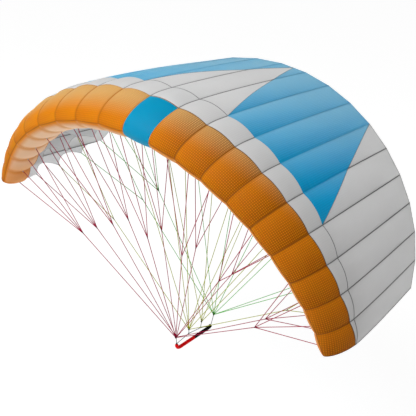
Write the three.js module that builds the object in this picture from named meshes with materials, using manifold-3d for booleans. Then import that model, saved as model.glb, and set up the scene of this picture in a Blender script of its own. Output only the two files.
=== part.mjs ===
// A parawing in flight: a single-skin foil wing with a double-skin nose, its ribs, lines and hand bar.
// X runs across the span (right is positive), Y along the chord (the nose points to -Y), Z up.
// The origin is the middle of the bar's grip. All sizes are in millimetres.
import * as THREE from 'three';
import { mergeVertices } from 'three/addons/utils/BufferGeometryUtils.js';
import Module from 'manifold-3d';

const wasm = await Module();
wasm.setup();

// Plan of the wing
const CENTRE_CHORD = 1570;
const CELL_WIDTH = 203; // rib to rib at the centre
const TIP_CELL_LOSS = 0.26; // share by which the tip cell is narrower
const RIBS_PER_SIDE = 10;
const NOSE_AHEAD = 747; // chord line's front end, ahead of the bar's middle
const NOSE_ABOVE = 1884; // and above it
const ROLL_DEG = { first: 63.8, third: 20.8, fifth: -14.6 }; // by power of the span share
const CHORD_LOSS = { second: 0.33, fourth: -0.16, sixth: 0.21 };
const SWEEP = { second: 70, fourth: 100 };
const ARC_STEP = 4;

// Section, in shares of the chord
const NOSE = { u: -0.022, h: 0, blunt: 0.045, rise: 3, fall: 8 }; // blunter inboard of the tip
const CREST = { u: 0.18, h: 0.0947 };
const BELLY = { u: 0.12, h: -0.066 };
const FLOOR_END = { u: 0.19, h: -0.058, tip: 0.125, power: 6 };
const NOSE_ROUND = 1.9; // exponent of the nose's upper quarter
const TAIL_BEND = 1.27; // exponent of the rear slope
const CHIN_DEG = 6; // how far under the nose the two nose skins are sewn together
// Floor end and seams move from their place at the centre to that at the tip by a power of the span share
const FRONT_SEAM = { centre: 0.13, tip: 0.165, power: 4 };
const BACK_SEAM = { centre: 0.254, tip: 0.171, power: 3 };
const BELLY_AT = -0.75; // profile station of the belly's lowest point

// Cloth
const SKIN = 1.5;
const RIB_SHEET = 1.5;
const SEAM_GAP = 0.4;
const SLANT_GAP = 1.6; // at a slanting seam, along the chord
const RIB_GAP = 0.35;
// How far the cloth swells between two ribs, as a share of the cell's width, by profile station
const SWELL = [
  { at: -1, share: 0.05 },
  { at: -0.5, share: 0.035 },
  { at: 0, share: 0.015 },
  { at: 0.5, share: 0.05 },
  { at: 1, share: 0.09 },
  { at: 2, share: 0.09 },
  { at: 2.4, share: 0.07 },
  { at: 3, share: 0 },
];
const TIP_SWELL = { share: 0.09, power: 6 }; // added to the nose floor's swell toward the tips
const CELL_STEPS = 4;
const ROWS = { floor: 4, nose: 7, band: 2, rear: 4 };
const POINT = 2; // a panel's pointed corner stops this far short, along the span

// Lower edge of a rib: tabs for the lines, in shares of the chord, with a hollow ahead of the next one
const TABS = [
  { row: 'b', u: 0.257, h: -0.055, hollow: 0.07 },
  { row: 'c', u: 0.48, h: -0.05, hollow: 0.06 },
  { row: 'd', u: 0.737, h: -0.032, hollow: 0.03 },
];
const TAB_HALF = 7;
const HOLLOW_STEPS = 6;
const HOLLOW_ROUND = 0.8;
const RIB_END = { u: 0.962, height: 4 };
const A_TAB_U = 0.083;
const TAIL_TAB_AT = 2.985;

// Lines
const RED_LINE = 2.4;
const FINE_LINE = 2;
const LEADER = 3;
const LINE_GAP = 0.3;
const LINE_SIDES = 6;
const JUNCTION_KNOT = 4;
const FRONT_KNOT = { radius: 8, y: -217, z: 112, spread: 8 };
const C_KNOT = { radius: 7, y: -77, z: 108 };
const D_KNOT = { radius: 7, y: 65, z: 104 };
const TAIL_KNOT = { radius: 7, y: 207, z: 95 };
const KNOT_STEPS = 4;
const KNOT_SIDES = 12;
// Junctions of the branched lines on the right side; the left side mirrors them
const FRONT_JUNCTIONS = [
  { group: 'inner', row: 'a', x: 148, y: -429, z: 958, ribs: [0, 1, 2] },
  { group: 'inner', row: 'b', x: 148, y: -289, z: 955, ribs: [0, 1, 2] },
  { group: 'middle', row: 'a', x: 457, y: -429, z: 917, ribs: [3, 4, 5] },
  { group: 'middle', row: 'b', x: 451, y: -284, z: 901, ribs: [3, 4, 5] },
  { group: 'tip', row: 'a', x: 754, y: -408, z: 708, ribs: [6, 7, 8, 9] },
  { group: 'tip', row: 'b', x: 744, y: -279, z: 701, ribs: [6, 7, 8, 9] },
];
const FANS = [
  {
    name: 'c_lines',
    knot: C_KNOT,
    colour: 'olive',
    straight: [{ row: 'c', ribs: [1, 2, 4] }],
    branched: [{ row: 'c', x: 769, y: -80, z: 683, ribs: [7, 9] }],
  },
  {
    name: 'd_lines',
    knot: D_KNOT,
    colour: 'olive',
    straight: [{ row: 'd', ribs: [1, 4] }],
    branched: [],
  },
  {
    name: 'tail_lines',
    knot: TAIL_KNOT,
    colour: 'green',
    straight: [{ row: 'tail', ribs: [1, 4] }],
    branched: [
      { row: 'd', x: 775, y: 233, z: 722, ribs: [7, 9] },
      { row: 'tail', x: 769, y: 403, z: 737, ribs: [6, 7, 8, 9] },
    ],
  },
];

// Hand bar
const BAR_DIAMETER = 23;
const BAR_SIDES = 14;
const BAR_JOINT_Y = -7;
const BAR_FRONT = [
  { y: -204, z: 43 },
  { y: -199, z: 24 },
  { y: -184, z: 7 },
  { y: -162, z: 0.5 },
  { y: -135, z: 0 },
];
const BAR_REAR = [
  { y: 130, z: 0 },
  { y: 154, z: 0.5 },
  { y: 172, z: 4 },
  { y: 186, z: 13 },
];
const BAR_STEPS = 14;
const TRIM_START = 7; // where the trim line leaves the front leader, above the bar's end
const TRIM_C = { y: -73, z: 71 };
const TRIM_D = { y: 61, z: 52 };
const TRIM_SEAT = { y: 178, z: 8 };

const COLOURS = {
  orange: 0xd28020,
  peach: 0xdb9c68,
  blue: 0x0f96d2,
  paleBlue: 0x4a9dcc,
  grey: 0xc9c9ca,
  red: 0x5a1420,
  olive: 0x6e6a2c,
  green: 0x2f7a3a,
  cord: 0x6a6a6c,
  gripRed: 0xb00808,
  gripBlack: 0x121212,
};

const SIDES = [
  { word: 'left', sign: -1 },
  { word: 'right', sign: 1 },
];

const part = new THREE.Group();

function addMesh(name, geometry, colour, roughness = 0.7) {
  const material = new THREE.MeshStandardMaterial({ color: COLOURS[colour], roughness, metalness: 0 });
  const mesh = new THREE.Mesh(geometry, material);
  mesh.name = name;
  part.add(mesh);
}

// Ribs and section

function ribStations() {
  const half = [CELL_WIDTH / 2];
  for (let k = 1; k < RIBS_PER_SIDE; k++) {
    const share = k / (RIBS_PER_SIDE - 1);
    half.push(half[k - 1] + CELL_WIDTH * (1 - TIP_CELL_LOSS * share ** 3));
  }
  return half;
}

const HALF = ribStations();
const HALF_SPAN = HALF[RIBS_PER_SIDE - 1];
const STATIONS = [...HALF.map((s) => -s).reverse(), ...HALF];

function rollAt(share) {
  const degrees = ROLL_DEG.first * share + ROLL_DEG.third * share ** 3 + ROLL_DEG.fifth * share ** 5;
  return THREE.MathUtils.degToRad(degrees);
}

// A rib's place: the front end of its chord line, its roll and its chord
function makeRib(station) {
  const side = Math.sign(station);
  const reach = Math.abs(station);
  const share = reach / HALF_SPAN;
  const steps = Math.ceil(reach / ARC_STEP);
  let x = 0;
  let drop = 0;
  for (let i = 0; i < steps; i++) {
    const roll = rollAt((share * (i + 0.5)) / steps);
    x += (Math.cos(roll) * reach) / steps;
    drop += (Math.sin(roll) * reach) / steps;
  }
  const loss =
    CHORD_LOSS.second * share ** 2 + CHORD_LOSS.fourth * share ** 4 + CHORD_LOSS.sixth * share ** 6;
  const sweep = SWEEP.second * share ** 2 + SWEEP.fourth * share ** 4;
  return {
    share,
    roll: side * rollAt(share),
    chord: CENTRE_CHORD * (1 - loss),
    front: new THREE.Vector3(side * x, sweep - NOSE_AHEAD, NOSE_ABOVE - drop),
  };
}

const RIBS = STATIONS.map(makeRib);

function ribPoint(rib, u, h) {
  const up = new THREE.Vector3(Math.sin(rib.roll), 0, Math.cos(rib.roll));
  const point = rib.front.clone().addScaledVector(up, h * rib.chord);
  point.y += u * rib.chord;
  return point;
}

const noseAt = (share) => NOSE.u + NOSE.blunt * share ** NOSE.rise * (1 - share ** NOSE.fall);

function upperHeight(u, noseU) {
  if (u > CREST.u) {
    return CREST.h * (1 - ((u - CREST.u) / (1 - CREST.u)) ** TAIL_BEND);
  }
  const run = (CREST.u - u) / (CREST.u - noseU);
  return NOSE.h + (CREST.h - NOSE.h) * (1 - run ** NOSE_ROUND) ** (1 / NOSE_ROUND);
}

function chinPoint(degrees, noseU) {
  const angle = THREE.MathUtils.degToRad(degrees);
  return {
    u: BELLY.u - (BELLY.u - noseU) * Math.cos(angle),
    h: NOSE.h - (NOSE.h - BELLY.h) * Math.sin(angle),
  };
}

function nosePoint(angle, noseU) {
  const power = 2 / NOSE_ROUND;
  return {
    u: CREST.u - (CREST.u - noseU) * Math.cos(angle) ** power,
    h: NOSE.h + (CREST.h - NOSE.h) * Math.sin(angle) ** power,
  };
}

// Profile station w: -1 rear edge of the nose floor, 0 chin seam, 1 front seam, 2 back seam, 3 trailing edge
function profile(share, w) {
  const lerp = THREE.MathUtils.lerp;
  const frontSeam = lerp(FRONT_SEAM.centre, FRONT_SEAM.tip, share ** FRONT_SEAM.power);
  const backSeam = lerp(BACK_SEAM.centre, BACK_SEAM.tip, share ** BACK_SEAM.power);
  const noseU = noseAt(share);
  if (w <= BELLY_AT) {
    const run = (BELLY_AT - w) / (1 + BELLY_AT);
    const floorEnd = lerp(FLOOR_END.u, FLOOR_END.tip, share ** FLOOR_END.power);
    return { u: lerp(BELLY.u, floorEnd, run), h: lerp(BELLY.h, FLOOR_END.h, run) };
  }
  if (w <= 0) {
    return chinPoint(lerp(CHIN_DEG, 90, w / BELLY_AT), noseU);
  }
  if (w <= 1) {
    const run = (CREST.u - frontSeam) / (CREST.u - noseU);
    const top = THREE.MathUtils.radToDeg(Math.acos(run ** (NOSE_ROUND / 2)));
    const degrees = lerp(-CHIN_DEG, top, w);
    const angle = THREE.MathUtils.degToRad(degrees);
    return degrees < 0 ? chinPoint(-degrees, noseU) : nosePoint(angle, noseU);
  }
  const u = w <= 2 ? lerp(frontSeam, backSeam, w - 1) : lerp(backSeam, 1, w - 2);
  return { u, h: upperHeight(u, noseU) };
}

function swellAt(share, w) {
  const next = Math.max(1, SWELL.findIndex((row) => row.at >= w));
  const a = SWELL[next - 1];
  const b = SWELL[next];
  const tip = TIP_SWELL.share * share ** TIP_SWELL.power * THREE.MathUtils.clamp(-2 * w, 0, 1);
  return tip + THREE.MathUtils.mapLinear(w, a.at, b.at, a.share, b.share);
}

// Cloth surface: ruled between two ribs and swollen along its normal

function profilePoint(rib, w) {
  const { u, h } = profile(rib.share, w);
  return ribPoint(rib, u, h);
}

const W_STEP = 0.004;
const S_STEP = 0.5;
const clampW = (w) => THREE.MathUtils.clamp(w, -1, 3);

function surface(s, w) {
  const next = THREE.MathUtils.clamp(STATIONS.findIndex((station) => station >= s), 1, STATIONS.length - 1);
  const share = (s - STATIONS[next - 1]) / (STATIONS[next] - STATIONS[next - 1]);
  const across = (at) =>
    profilePoint(RIBS[next - 1], at).lerp(profilePoint(RIBS[next], at), share);
  const span = profilePoint(RIBS[next], w).sub(profilePoint(RIBS[next - 1], w));
  const along = across(clampW(w + W_STEP)).sub(across(clampW(w - W_STEP)));
  const normal = span.clone().cross(along).normalize();
  const swell = swellAt(Math.abs(s) / HALF_SPAN, w);
  const rise = swell * span.length() * 4 * share * (1 - share);
  return across(w).addScaledVector(normal, rise);
}

function surfaceNormal(s, w) {
  const clampS = (value) => THREE.MathUtils.clamp(value, -HALF_SPAN, HALF_SPAN);
  const span = surface(clampS(s + S_STEP), w).sub(surface(clampS(s - S_STEP), w));
  const along = surface(s, clampW(w + W_STEP)).sub(surface(s, clampW(w - W_STEP)));
  return span.cross(along).normalize();
}

// Millimetres of cloth for one unit of profile station
function clothPerStation(s, w) {
  const a = clampW(w - W_STEP);
  const b = clampW(w + W_STEP);
  return surface(s, b).distanceTo(surface(s, a)) / (b - a);
}

// Columns of a panel between two places on the span: its ends, the ribs and the steps between them
function columns(from, to) {
  const list = [from];
  for (let i = 1; i < STATIONS.length; i++) {
    for (let step = 0; step < CELL_STEPS; step++) {
      const s = THREE.MathUtils.lerp(STATIONS[i - 1], STATIONS[i], step / CELL_STEPS);
      if (s > from + POINT / 2 && s < to - POINT / 2) {
        list.push(s);
      }
    }
  }
  return [...list, to];
}

// A closed sheet over a panel; low and high give its profile stations along the span
function sheet({ from, to, low, high, rows, lowGap = SEAM_GAP, highGap = SEAM_GAP }) {
  const list = columns(from, to);
  const outside = [];
  const inside = [];
  for (const s of list) {
    const start = low(s) + lowGap / 2 / clothPerStation(s, low(s));
    const end = high(s) - highGap / 2 / clothPerStation(s, high(s));
    for (let row = 0; row <= rows; row++) {
      const w = THREE.MathUtils.lerp(start, end, row / rows);
      const point = surface(s, w);
      const half = surfaceNormal(s, w).multiplyScalar(SKIN / 2);
      outside.push(point.clone().add(half));
      inside.push(point.clone().sub(half));
    }
  }
  const width = rows + 1;
  const back = outside.length;
  const index = [];
  const quad = (a, b, c, d) => index.push(a, b, c, a, c, d);
  for (let i = 0; i + 1 < list.length; i++) {
    for (let j = 0; j < rows; j++) {
      const a = i * width + j;
      quad(a, a + width, a + width + 1, a + 1);
      index.push(back + a, back + a + width + 1, back + a + width);
      index.push(back + a, back + a + 1, back + a + width + 1);
    }
    const low0 = i * width;
    const high0 = low0 + rows;
    quad(low0, back + low0, back + low0 + width, low0 + width);
    quad(high0, high0 + width, back + high0 + width, back + high0);
  }
  const last = (list.length - 1) * width;
  for (let j = 0; j < rows; j++) {
    quad(j, j + 1, back + j + 1, back + j);
    quad(last + j, back + last + j, back + last + j + 1, last + j + 1);
  }
  const geometry = new THREE.BufferGeometry().setFromPoints([...outside, ...inside]);
  geometry.setIndex(index);
  return geometry;
}

// Slanting seams of the rear: from the back seam at a rib to the trailing edge, nearer the middle
const INNER_SEAM = { back: HALF[1], tail: 0 };
const OUTER_SEAM = { back: HALF[5], tail: HALF[3] };

function slantStation(s, { back, tail }) {
  return 3 - THREE.MathUtils.clamp((Math.abs(s) - tail) / (back - tail), 0, 1);
}

const innerSeam = (s) => slantStation(s, INNER_SEAM);
const outerSeam = (s) => slantStation(s, OUTER_SEAM);

// Profile stations of the rear panels' rows at a place on the span
function rearRows(s) {
  const seams = [2, innerSeam(s), outerSeam(s), 3].sort((a, b) => a - b);
  const list = [];
  for (let i = 1; i < seams.length; i++) {
    if (seams[i] > seams[i - 1]) {
      list.push(...evenly(seams[i - 1], seams[i], ROWS.rear));
    }
  }
  return [...list, 3];
}

function addPanels() {
  const first = HALF[0];
  const edge = SEAM_GAP / 2;
  const spans = [
    { side: 'left', from: -HALF_SPAN, to: -first - edge, nose: 'orange' },
    { side: 'centre', from: -first + edge, to: first - edge, nose: 'blue' },
    { side: 'right', from: first + edge, to: HALF_SPAN, nose: 'orange' },
  ];
  for (const { side, from, to, nose } of spans) {
    const skin = { from, to, low: () => 0, high: () => 1, rows: ROWS.nose };
    addMesh(`nose_skin_${side}`, sheet(skin), nose);
    const floor = { from, to, low: () => -1, high: () => 0, rows: ROWS.floor, lowGap: 0 };
    addMesh(`nose_floor_${side}`, sheet(floor), nose === 'blue' ? 'blue' : 'peach');
  }
  const whole = { from: -HALF_SPAN, to: HALF_SPAN };
  addMesh('crest_band', sheet({ ...whole, low: () => 1, high: () => 2, rows: ROWS.band }), 'grey');

  const middle = INNER_SEAM.back - POINT;
  const centre = { from: -middle, to: middle, low: () => 2, high: innerSeam };
  addMesh('rear_panel_centre', sheet({ ...centre, rows: ROWS.rear, highGap: SLANT_GAP }), 'grey');
  for (const { word, sign } of SIDES) {
    const reach = (near, far) => (sign > 0 ? { from: near, to: far } : { from: -far, to: -near });
    const inner = { ...reach(POINT, OUTER_SEAM.back - POINT), low: innerSeam, high: outerSeam };
    const outer = { ...reach(OUTER_SEAM.tail + POINT, HALF_SPAN), low: outerSeam, high: () => 3 };
    const gaps = { rows: ROWS.rear, lowGap: SLANT_GAP, highGap: SLANT_GAP };
    addMesh(`rear_panel_${word}`, sheet({ ...inner, ...gaps }), 'paleBlue');
    addMesh(`tip_panel_${word}`, sheet({ ...outer, ...gaps, highGap: 0 }), 'grey');
  }
}

// Ribs: flat sheets inside the nose and under the rear skin, hollowed between their tabs

function profileInset(rib, w) {
  const a = profile(rib.share, clampW(w - W_STEP));
  const b = profile(rib.share, clampW(w + W_STEP));
  const slope = new THREE.Vector2(b.u - a.u, b.h - a.h).normalize();
  const { u, h } = profile(rib.share, w);
  const inset = SKIN / 2 + RIB_GAP;
  return new THREE.Vector2(u * rib.chord + slope.y * inset, h * rib.chord - slope.x * inset);
}

function evenly(from, to, count) {
  return Array.from({ length: count }, (_, i) => THREE.MathUtils.lerp(from, to, i / count));
}

function ribOutline(rib) {
  const along = [
    ...evenly(-1, 0, ROWS.floor),
    ...evenly(0, 1, ROWS.nose),
    ...evenly(1, 2, ROWS.band),
    ...rearRows(STATIONS[RIBS.indexOf(rib)]),
  ];
  const outline = along.map((w) => profileInset(rib, w));
  const tail = outline.pop();
  const last = outline[outline.length - 1];
  const top = last.clone().lerp(tail, (RIB_END.u * rib.chord - last.x) / (tail.x - last.x));
  const end = new THREE.Vector2(top.x, top.y - RIB_END.height);
  outline.push(top);
  const lower = [end];
  let behind = end;
  for (const tab of [...TABS].reverse()) {
    const front = new THREE.Vector2(tab.u * rib.chord - TAB_HALF, tab.h * rib.chord);
    const rear = new THREE.Vector2(tab.u * rib.chord + TAB_HALF, tab.h * rib.chord);
    for (let i = 1; i < HOLLOW_STEPS; i++) {
      const share = i / HOLLOW_STEPS;
      const point = behind.clone().lerp(rear, share);
      const ceiling = upperHeight(point.x / rib.chord, noseAt(rib.share)) * rib.chord - RIB_END.height;
      point.y += tab.hollow * rib.chord * Math.sin(Math.PI * share) ** HOLLOW_ROUND;
      point.y = Math.min(point.y, ceiling);
      lower.push(point);
    }
    lower.push(rear, front);
    behind = front;
  }
  return [...outline, ...lower];
}

function addRib(rib, name) {
  const shape = new THREE.Shape(ribOutline(rib));
  const geometry = new THREE.ExtrudeGeometry(shape, { depth: RIB_SHEET, bevelEnabled: false });
  geometry.translate(0, 0, -RIB_SHEET / 2);
  const chordwise = new THREE.Vector3(0, 1, 0);
  const up = new THREE.Vector3(Math.sin(rib.roll), 0, Math.cos(rib.roll));
  const frame = new THREE.Matrix4().makeBasis(chordwise, up, chordwise.clone().cross(up));
  geometry.applyMatrix4(frame.setPosition(rib.front));
  addMesh(name, geometry, 'grey');
}

function addRibs() {
  RIBS.forEach((rib, i) => {
    const side = i < RIBS_PER_SIDE ? 'left' : 'right';
    const number = i < RIBS_PER_SIDE ? RIBS_PER_SIDE - 1 - i : i - RIBS_PER_SIDE;
    addRib(rib, `rib_${side}_${number}`);
  });
}

// Lines

function toSolid(geometry) {
  const bare = geometry.clone();
  bare.deleteAttribute('normal');
  bare.deleteAttribute('uv');
  const merged = mergeVertices(bare);
  const vertProperties = new Float32Array(merged.attributes.position.array);
  const triVerts = new Uint32Array(merged.index.array);
  return new wasm.Manifold(new wasm.Mesh({ numProp: 3, vertProperties, triVerts }));
}

function joined(geometries) {
  const solid = geometries.map(toSolid).reduce((sum, next) => sum.add(next));
  const mesh = solid.getMesh();
  const geometry = new THREE.BufferGeometry();
  geometry.setAttribute('position', new THREE.BufferAttribute(mesh.vertProperties, 3));
  geometry.setIndex(new THREE.BufferAttribute(mesh.triVerts, 1));
  return geometry;
}

function roundSection(radius, sides) {
  const corners = Array.from({ length: sides }, (_, i) => {
    const angle = (2 * Math.PI * i) / sides;
    return new THREE.Vector2(radius * Math.cos(angle), radius * Math.sin(angle));
  });
  return new THREE.Shape(corners);
}

function cord(from, to, diameter) {
  const path = new THREE.LineCurve3(from, to);
  return new THREE.ExtrudeGeometry(roundSection(diameter / 2, LINE_SIDES), { steps: 1, extrudePath: path });
}

function knotBall(centre, radius) {
  return new THREE.OctahedronGeometry(radius, 1).translate(centre.x, centre.y, centre.z);
}

function towards(from, to, distance) {
  return from.clone().addScaledVector(to.clone().sub(from).normalize(), distance);
}

// How far along a line its flat end stays from a sheet or tab, given the way that face looks
function standOff(line, facing, clear, radius) {
  const cosine = line.dot(facing);
  const sine = Math.sqrt(1 - cosine ** 2);
  return (clear + radius * sine) / cosine;
}

// Upper end of a line that comes from below to a row's tab on a rib
function tabEnd(rib, row, below, diameter) {
  const radius = diameter / 2;
  const tab = TABS.find((each) => each.row === row);
  if (tab) {
    const corner = ribPoint(rib, tab.u, tab.h);
    const line = below.clone().sub(corner).normalize();
    const facing = new THREE.Vector3(-Math.sin(rib.roll), 0, -Math.cos(rib.roll));
    return corner.addScaledVector(line, standOff(line, facing, LINE_GAP, radius));
  }
  const w = row === 'a' ? aTabStation(rib.share) : TAIL_TAB_AT;
  const s = STATIONS[RIBS.indexOf(rib)];
  const point = surface(s, w);
  const line = below.clone().sub(point).normalize();
  const normal = surfaceNormal(s, w);
  const facing = row === 'a' ? normal : normal.negate();
  const valley = 4 * swellAt(rib.share, w) * radius; // the swollen cloth rises this much beside the seam
  return point.addScaledVector(line, standOff(line, facing, SKIN / 2 + LINE_GAP + valley, radius));
}

function aTabStation(share) {
  const cosine = (BELLY.u - A_TAB_U) / (BELLY.u - noseAt(share));
  const degrees = THREE.MathUtils.radToDeg(Math.acos(cosine));
  return (BELLY_AT * (degrees - CHIN_DEG)) / (90 - CHIN_DEG);
}

const inPlane = ({ y, z }) => new THREE.Vector3(0, y, z);
const ribOn = (side, number) => RIBS[side > 0 ? RIBS_PER_SIDE + number : RIBS_PER_SIDE - 1 - number];

// A main line from a knot to its junction, and the upper lines from there to the ribs
function branchedLine(branch, sign, knotCentre, knotRadius, diameter) {
  const junction = new THREE.Vector3(sign * branch.x, branch.y, branch.z);
  const foot = towards(knotCentre, junction, knotRadius + LINE_GAP);
  const pieces = [cord(foot, junction, diameter), knotBall(junction, JUNCTION_KNOT)];
  for (const number of branch.ribs) {
    const end = tabEnd(ribOn(sign, number), branch.row, junction, diameter);
    pieces.push(cord(junction, end, diameter));
  }
  return pieces;
}

function addFrontLines() {
  for (const { word, sign } of SIDES) {
    for (const junction of FRONT_JUNCTIONS) {
      const shift = (junction.row === 'a' ? -1 : 1) * (FRONT_KNOT.spread / 2);
      const centre = new THREE.Vector3(0, FRONT_KNOT.y + shift, FRONT_KNOT.z);
      const pieces = branchedLine(junction, sign, centre, FRONT_KNOT.radius, RED_LINE);
      addMesh(`${junction.row}_lines_${word}_${junction.group}`, joined(pieces), 'red');
    }
  }
}

// A row of lines from both sides, tied into one knot
function addFans() {
  for (const { name, knot, colour, straight, branched } of FANS) {
    const centre = inPlane(knot);
    const pieces = [knotBall(centre, knot.radius)];
    for (const { sign } of SIDES) {
      pieces.push(...branched.flatMap((each) => branchedLine(each, sign, centre, 0, FINE_LINE)));
      for (const { row, ribs } of straight) {
        for (const number of ribs) {
          pieces.push(cord(centre, tabEnd(ribOn(sign, number), row, centre, FINE_LINE), FINE_LINE));
        }
      }
    }
    addMesh(name, joined(pieces), colour);
  }
}

// The knot of the front lines, the leaders and the bar

function addFrontKnot() {
  const { radius, spread, y, z } = FRONT_KNOT;
  const capsule = new THREE.CapsuleGeometry(radius, spread, KNOT_STEPS, KNOT_SIDES);
  addMesh('front_knot', capsule.translate(0, y, z), 'red');
}

function barTube(points) {
  const path = new THREE.CatmullRomCurve3(points.map(inPlane));
  const section = roundSection(BAR_DIAMETER / 2, BAR_SIDES);
  return new THREE.ExtrudeGeometry(section, { steps: BAR_STEPS, extrudePath: path });
}

function addBar() {
  const middle = (sign) => ({ y: BAR_JOINT_Y + (sign * LINE_GAP) / 2, z: 0 });
  addMesh('bar_front', barTube([...BAR_FRONT, middle(-1)]), 'gripRed', 0.5);
  addMesh('bar_rear', barTube([middle(1), ...BAR_REAR]), 'gripBlack', 0.6);
}

// Foot of a leader on the bar's end face, which looks away from the bar's next point
function leaderFoot(end, next, knot) {
  const line = knot.clone().sub(end).normalize();
  const facing = end.clone().sub(next).normalize();
  return end.clone().addScaledVector(line, standOff(line, facing, 2 * LINE_GAP, LEADER / 2));
}

// Where the trim line, coming down from a point above, meets the side of the bar's rear end
function trimLineEnd(from) {
  const axis = new THREE.CatmullRomCurve3(BAR_REAR.map(inPlane)).getPoints(4 * BAR_STEPS);
  const clear = (BAR_DIAMETER + LEADER) / 2 + LINE_GAP;
  const step = towards(from, inPlane(TRIM_SEAT), LINE_GAP).sub(from);
  const end = from.clone();
  while (axis.every((point) => point.distanceTo(end) > clear)) {
    end.add(step);
  }
  return end.sub(step);
}

function addLeaders() {
  const frontEnd = inPlane(BAR_FRONT[0]);
  const frontKnot = inPlane(FRONT_KNOT);
  const start = leaderFoot(frontEnd, inPlane(BAR_FRONT[1]), frontKnot);
  const top = towards(frontKnot, frontEnd, FRONT_KNOT.radius + LINE_GAP);
  const trimStart = towards(frontEnd, frontKnot, TRIM_START);
  const trimC = inPlane(TRIM_C);
  const trimD = inPlane(TRIM_D);
  const [rearNext, rearEnd] = BAR_REAR.slice(-2).map(inPlane);
  const trimEnd = trimLineEnd(trimD);
  const pieces = [
    cord(start, top, LEADER),
    cord(trimStart, trimC, LEADER),
    cord(trimC, trimD, LEADER),
    cord(trimD, trimEnd, LEADER),
    cord(trimC, towards(inPlane(C_KNOT), trimC, C_KNOT.radius + LINE_GAP), LEADER),
    cord(trimD, towards(inPlane(D_KNOT), trimD, D_KNOT.radius + LINE_GAP), LEADER),
    knotBall(trimStart, LEADER),
    knotBall(trimC, LEADER),
    knotBall(trimD, LEADER),
  ];
  addMesh('front_leader', joined(pieces), 'cord');
  const tailKnot = inPlane(TAIL_KNOT);
  const foot = leaderFoot(rearEnd, rearNext, tailKnot);
  const head = towards(tailKnot, rearEnd, TAIL_KNOT.radius + LINE_GAP);
  addMesh('rear_leader', cord(foot, head, LEADER), 'cord');
}

addPanels();
addRibs();
addFrontLines();
addFans();
addFrontKnot();
addLeaders();
addBar();

export default part;
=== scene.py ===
"""A parawing in flight, dressed: sewn cloth, ribs, seams, stitching, lines, knots and hand bar.

X runs across the span (right is positive), Y along the chord from nose to tail, Z up. Sizes are in metres.
"""
import math
from collections import namedtuple

import bpy
import numpy as np
from mathutils import Matrix, Vector
from mathutils.geometry import tessellate_polygon


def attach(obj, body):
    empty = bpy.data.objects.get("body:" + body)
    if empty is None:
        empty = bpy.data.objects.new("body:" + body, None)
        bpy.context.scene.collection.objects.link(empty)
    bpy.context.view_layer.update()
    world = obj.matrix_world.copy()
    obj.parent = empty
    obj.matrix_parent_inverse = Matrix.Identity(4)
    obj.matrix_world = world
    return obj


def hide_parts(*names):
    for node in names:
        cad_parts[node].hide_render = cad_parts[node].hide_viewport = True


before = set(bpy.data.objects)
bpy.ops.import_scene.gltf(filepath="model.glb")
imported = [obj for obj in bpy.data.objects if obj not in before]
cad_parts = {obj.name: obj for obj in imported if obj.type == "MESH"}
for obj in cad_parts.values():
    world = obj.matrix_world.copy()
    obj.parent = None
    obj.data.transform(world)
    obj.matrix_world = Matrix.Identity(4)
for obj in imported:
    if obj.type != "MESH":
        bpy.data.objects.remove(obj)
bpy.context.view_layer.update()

bl_info = {
    "name": "Parawing",
    "version": (1, 0, 0),
    "blender": (4, 5, 0),
    "location": "3D View > Sidebar > Parawing",
    "description": "Sews the cloth, strings the lines and fits the hand bar of a parawing in flight",
    "category": "Object",
}

BODY = "root"
SIDES = (("left", -1), ("right", 1))
ACROSS, ALONG, UP = np.eye(3)

# Plan of the wing
RIBS_PER_SIDE = 10
TIP_CELL_LOSS = (0.26, 3)  # share, power of the rib's place
ROLL_DEG = (63.8, 20.8, -14.6)  # by the first, third and fifth power of the span share
CHORD_LOSS = (0.33, -0.16, 0.21)  # by the second, fourth and sixth power
SWEEP = (0.07, 0.1)  # by the second and fourth power
ARC_STEPS = 400
ARC_POINTS = 801

# Section, in shares of the chord, as (along, up)
CREST = (0.18, 0.0947)
BELLY = (0.12, -0.066)
FLOOR_END_UP = -0.058
NOSE_ROUND = 1.9
TAIL_BEND = 1.27
CHIN_DEG = 6.0
NOSE = (-0.022, 0.045, 3, 8)  # at the centre, then how much blunter inboard of the tip, by two powers
# Places along the chord: at the centre, at the tip, and the power of the span share by which they move
FLOOR_END = (0.19, 0.125, 6)
FRONT_SEAM = (0.13, 0.165, 4)
BACK_SEAM = (0.254, 0.171, 3)

# Profile stations: floor's rear edge, belly, chin seam, front seam, back seam, trailing edge
FLOOR_REAR, BELLY_AT, CHIN, FRONT, BACK, TAIL = -1.0, -0.75, 0.0, 1.0, 2.0, 3.0
W_STEP = 0.004
S_STEP = 0.0005

# How far the cloth swells between ribs, as a share of the cell's width, by profile station
SWELL_AT = (-1.4, -1.0, -0.5, 0.0, 0.5, 1.0, 2.0, 2.4, 3.0, 3.3)
SWELL = (0.062, 0.05, 0.035, 0.015, 0.05, 0.09, 0.09, 0.07, 0.0, -0.035)
SWELL_EASE = (-0.1, -0.05, 0.0, 0.05, 0.1)
TIP_SWELL = (0.09, 6, 0.5)  # added to the floor toward the tips: share, power, stations to its full share

# Gathers beside the rib seams, and their waves by height, rate and shift from rib to rib
GATHER_PITCH = 0.046
GATHER_REACH = 0.02
GATHER_WAVES = ((1.0, 1.0, 2.4), (0.6, 1.73, 4.1))

# Mesh steps
CELL_STEPS = 16
ROWS = {"floor": 24, "nose": 40, "band": 12, "rear": 96}
POINT = 0.001  # a panel's pointed corner stops this far short of it
SHARP_DEG = 35.0
LINE_SIDES = 8
UPRIGHT = 0.1  # a path this close to upright takes its first side from the span

# Blue panels, by the ribs that their seams run to at the back seam and at the trailing edge
INNER_RIB, OUTER_RIB, OUTER_TAIL_RIB = 1, 5, 3

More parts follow.
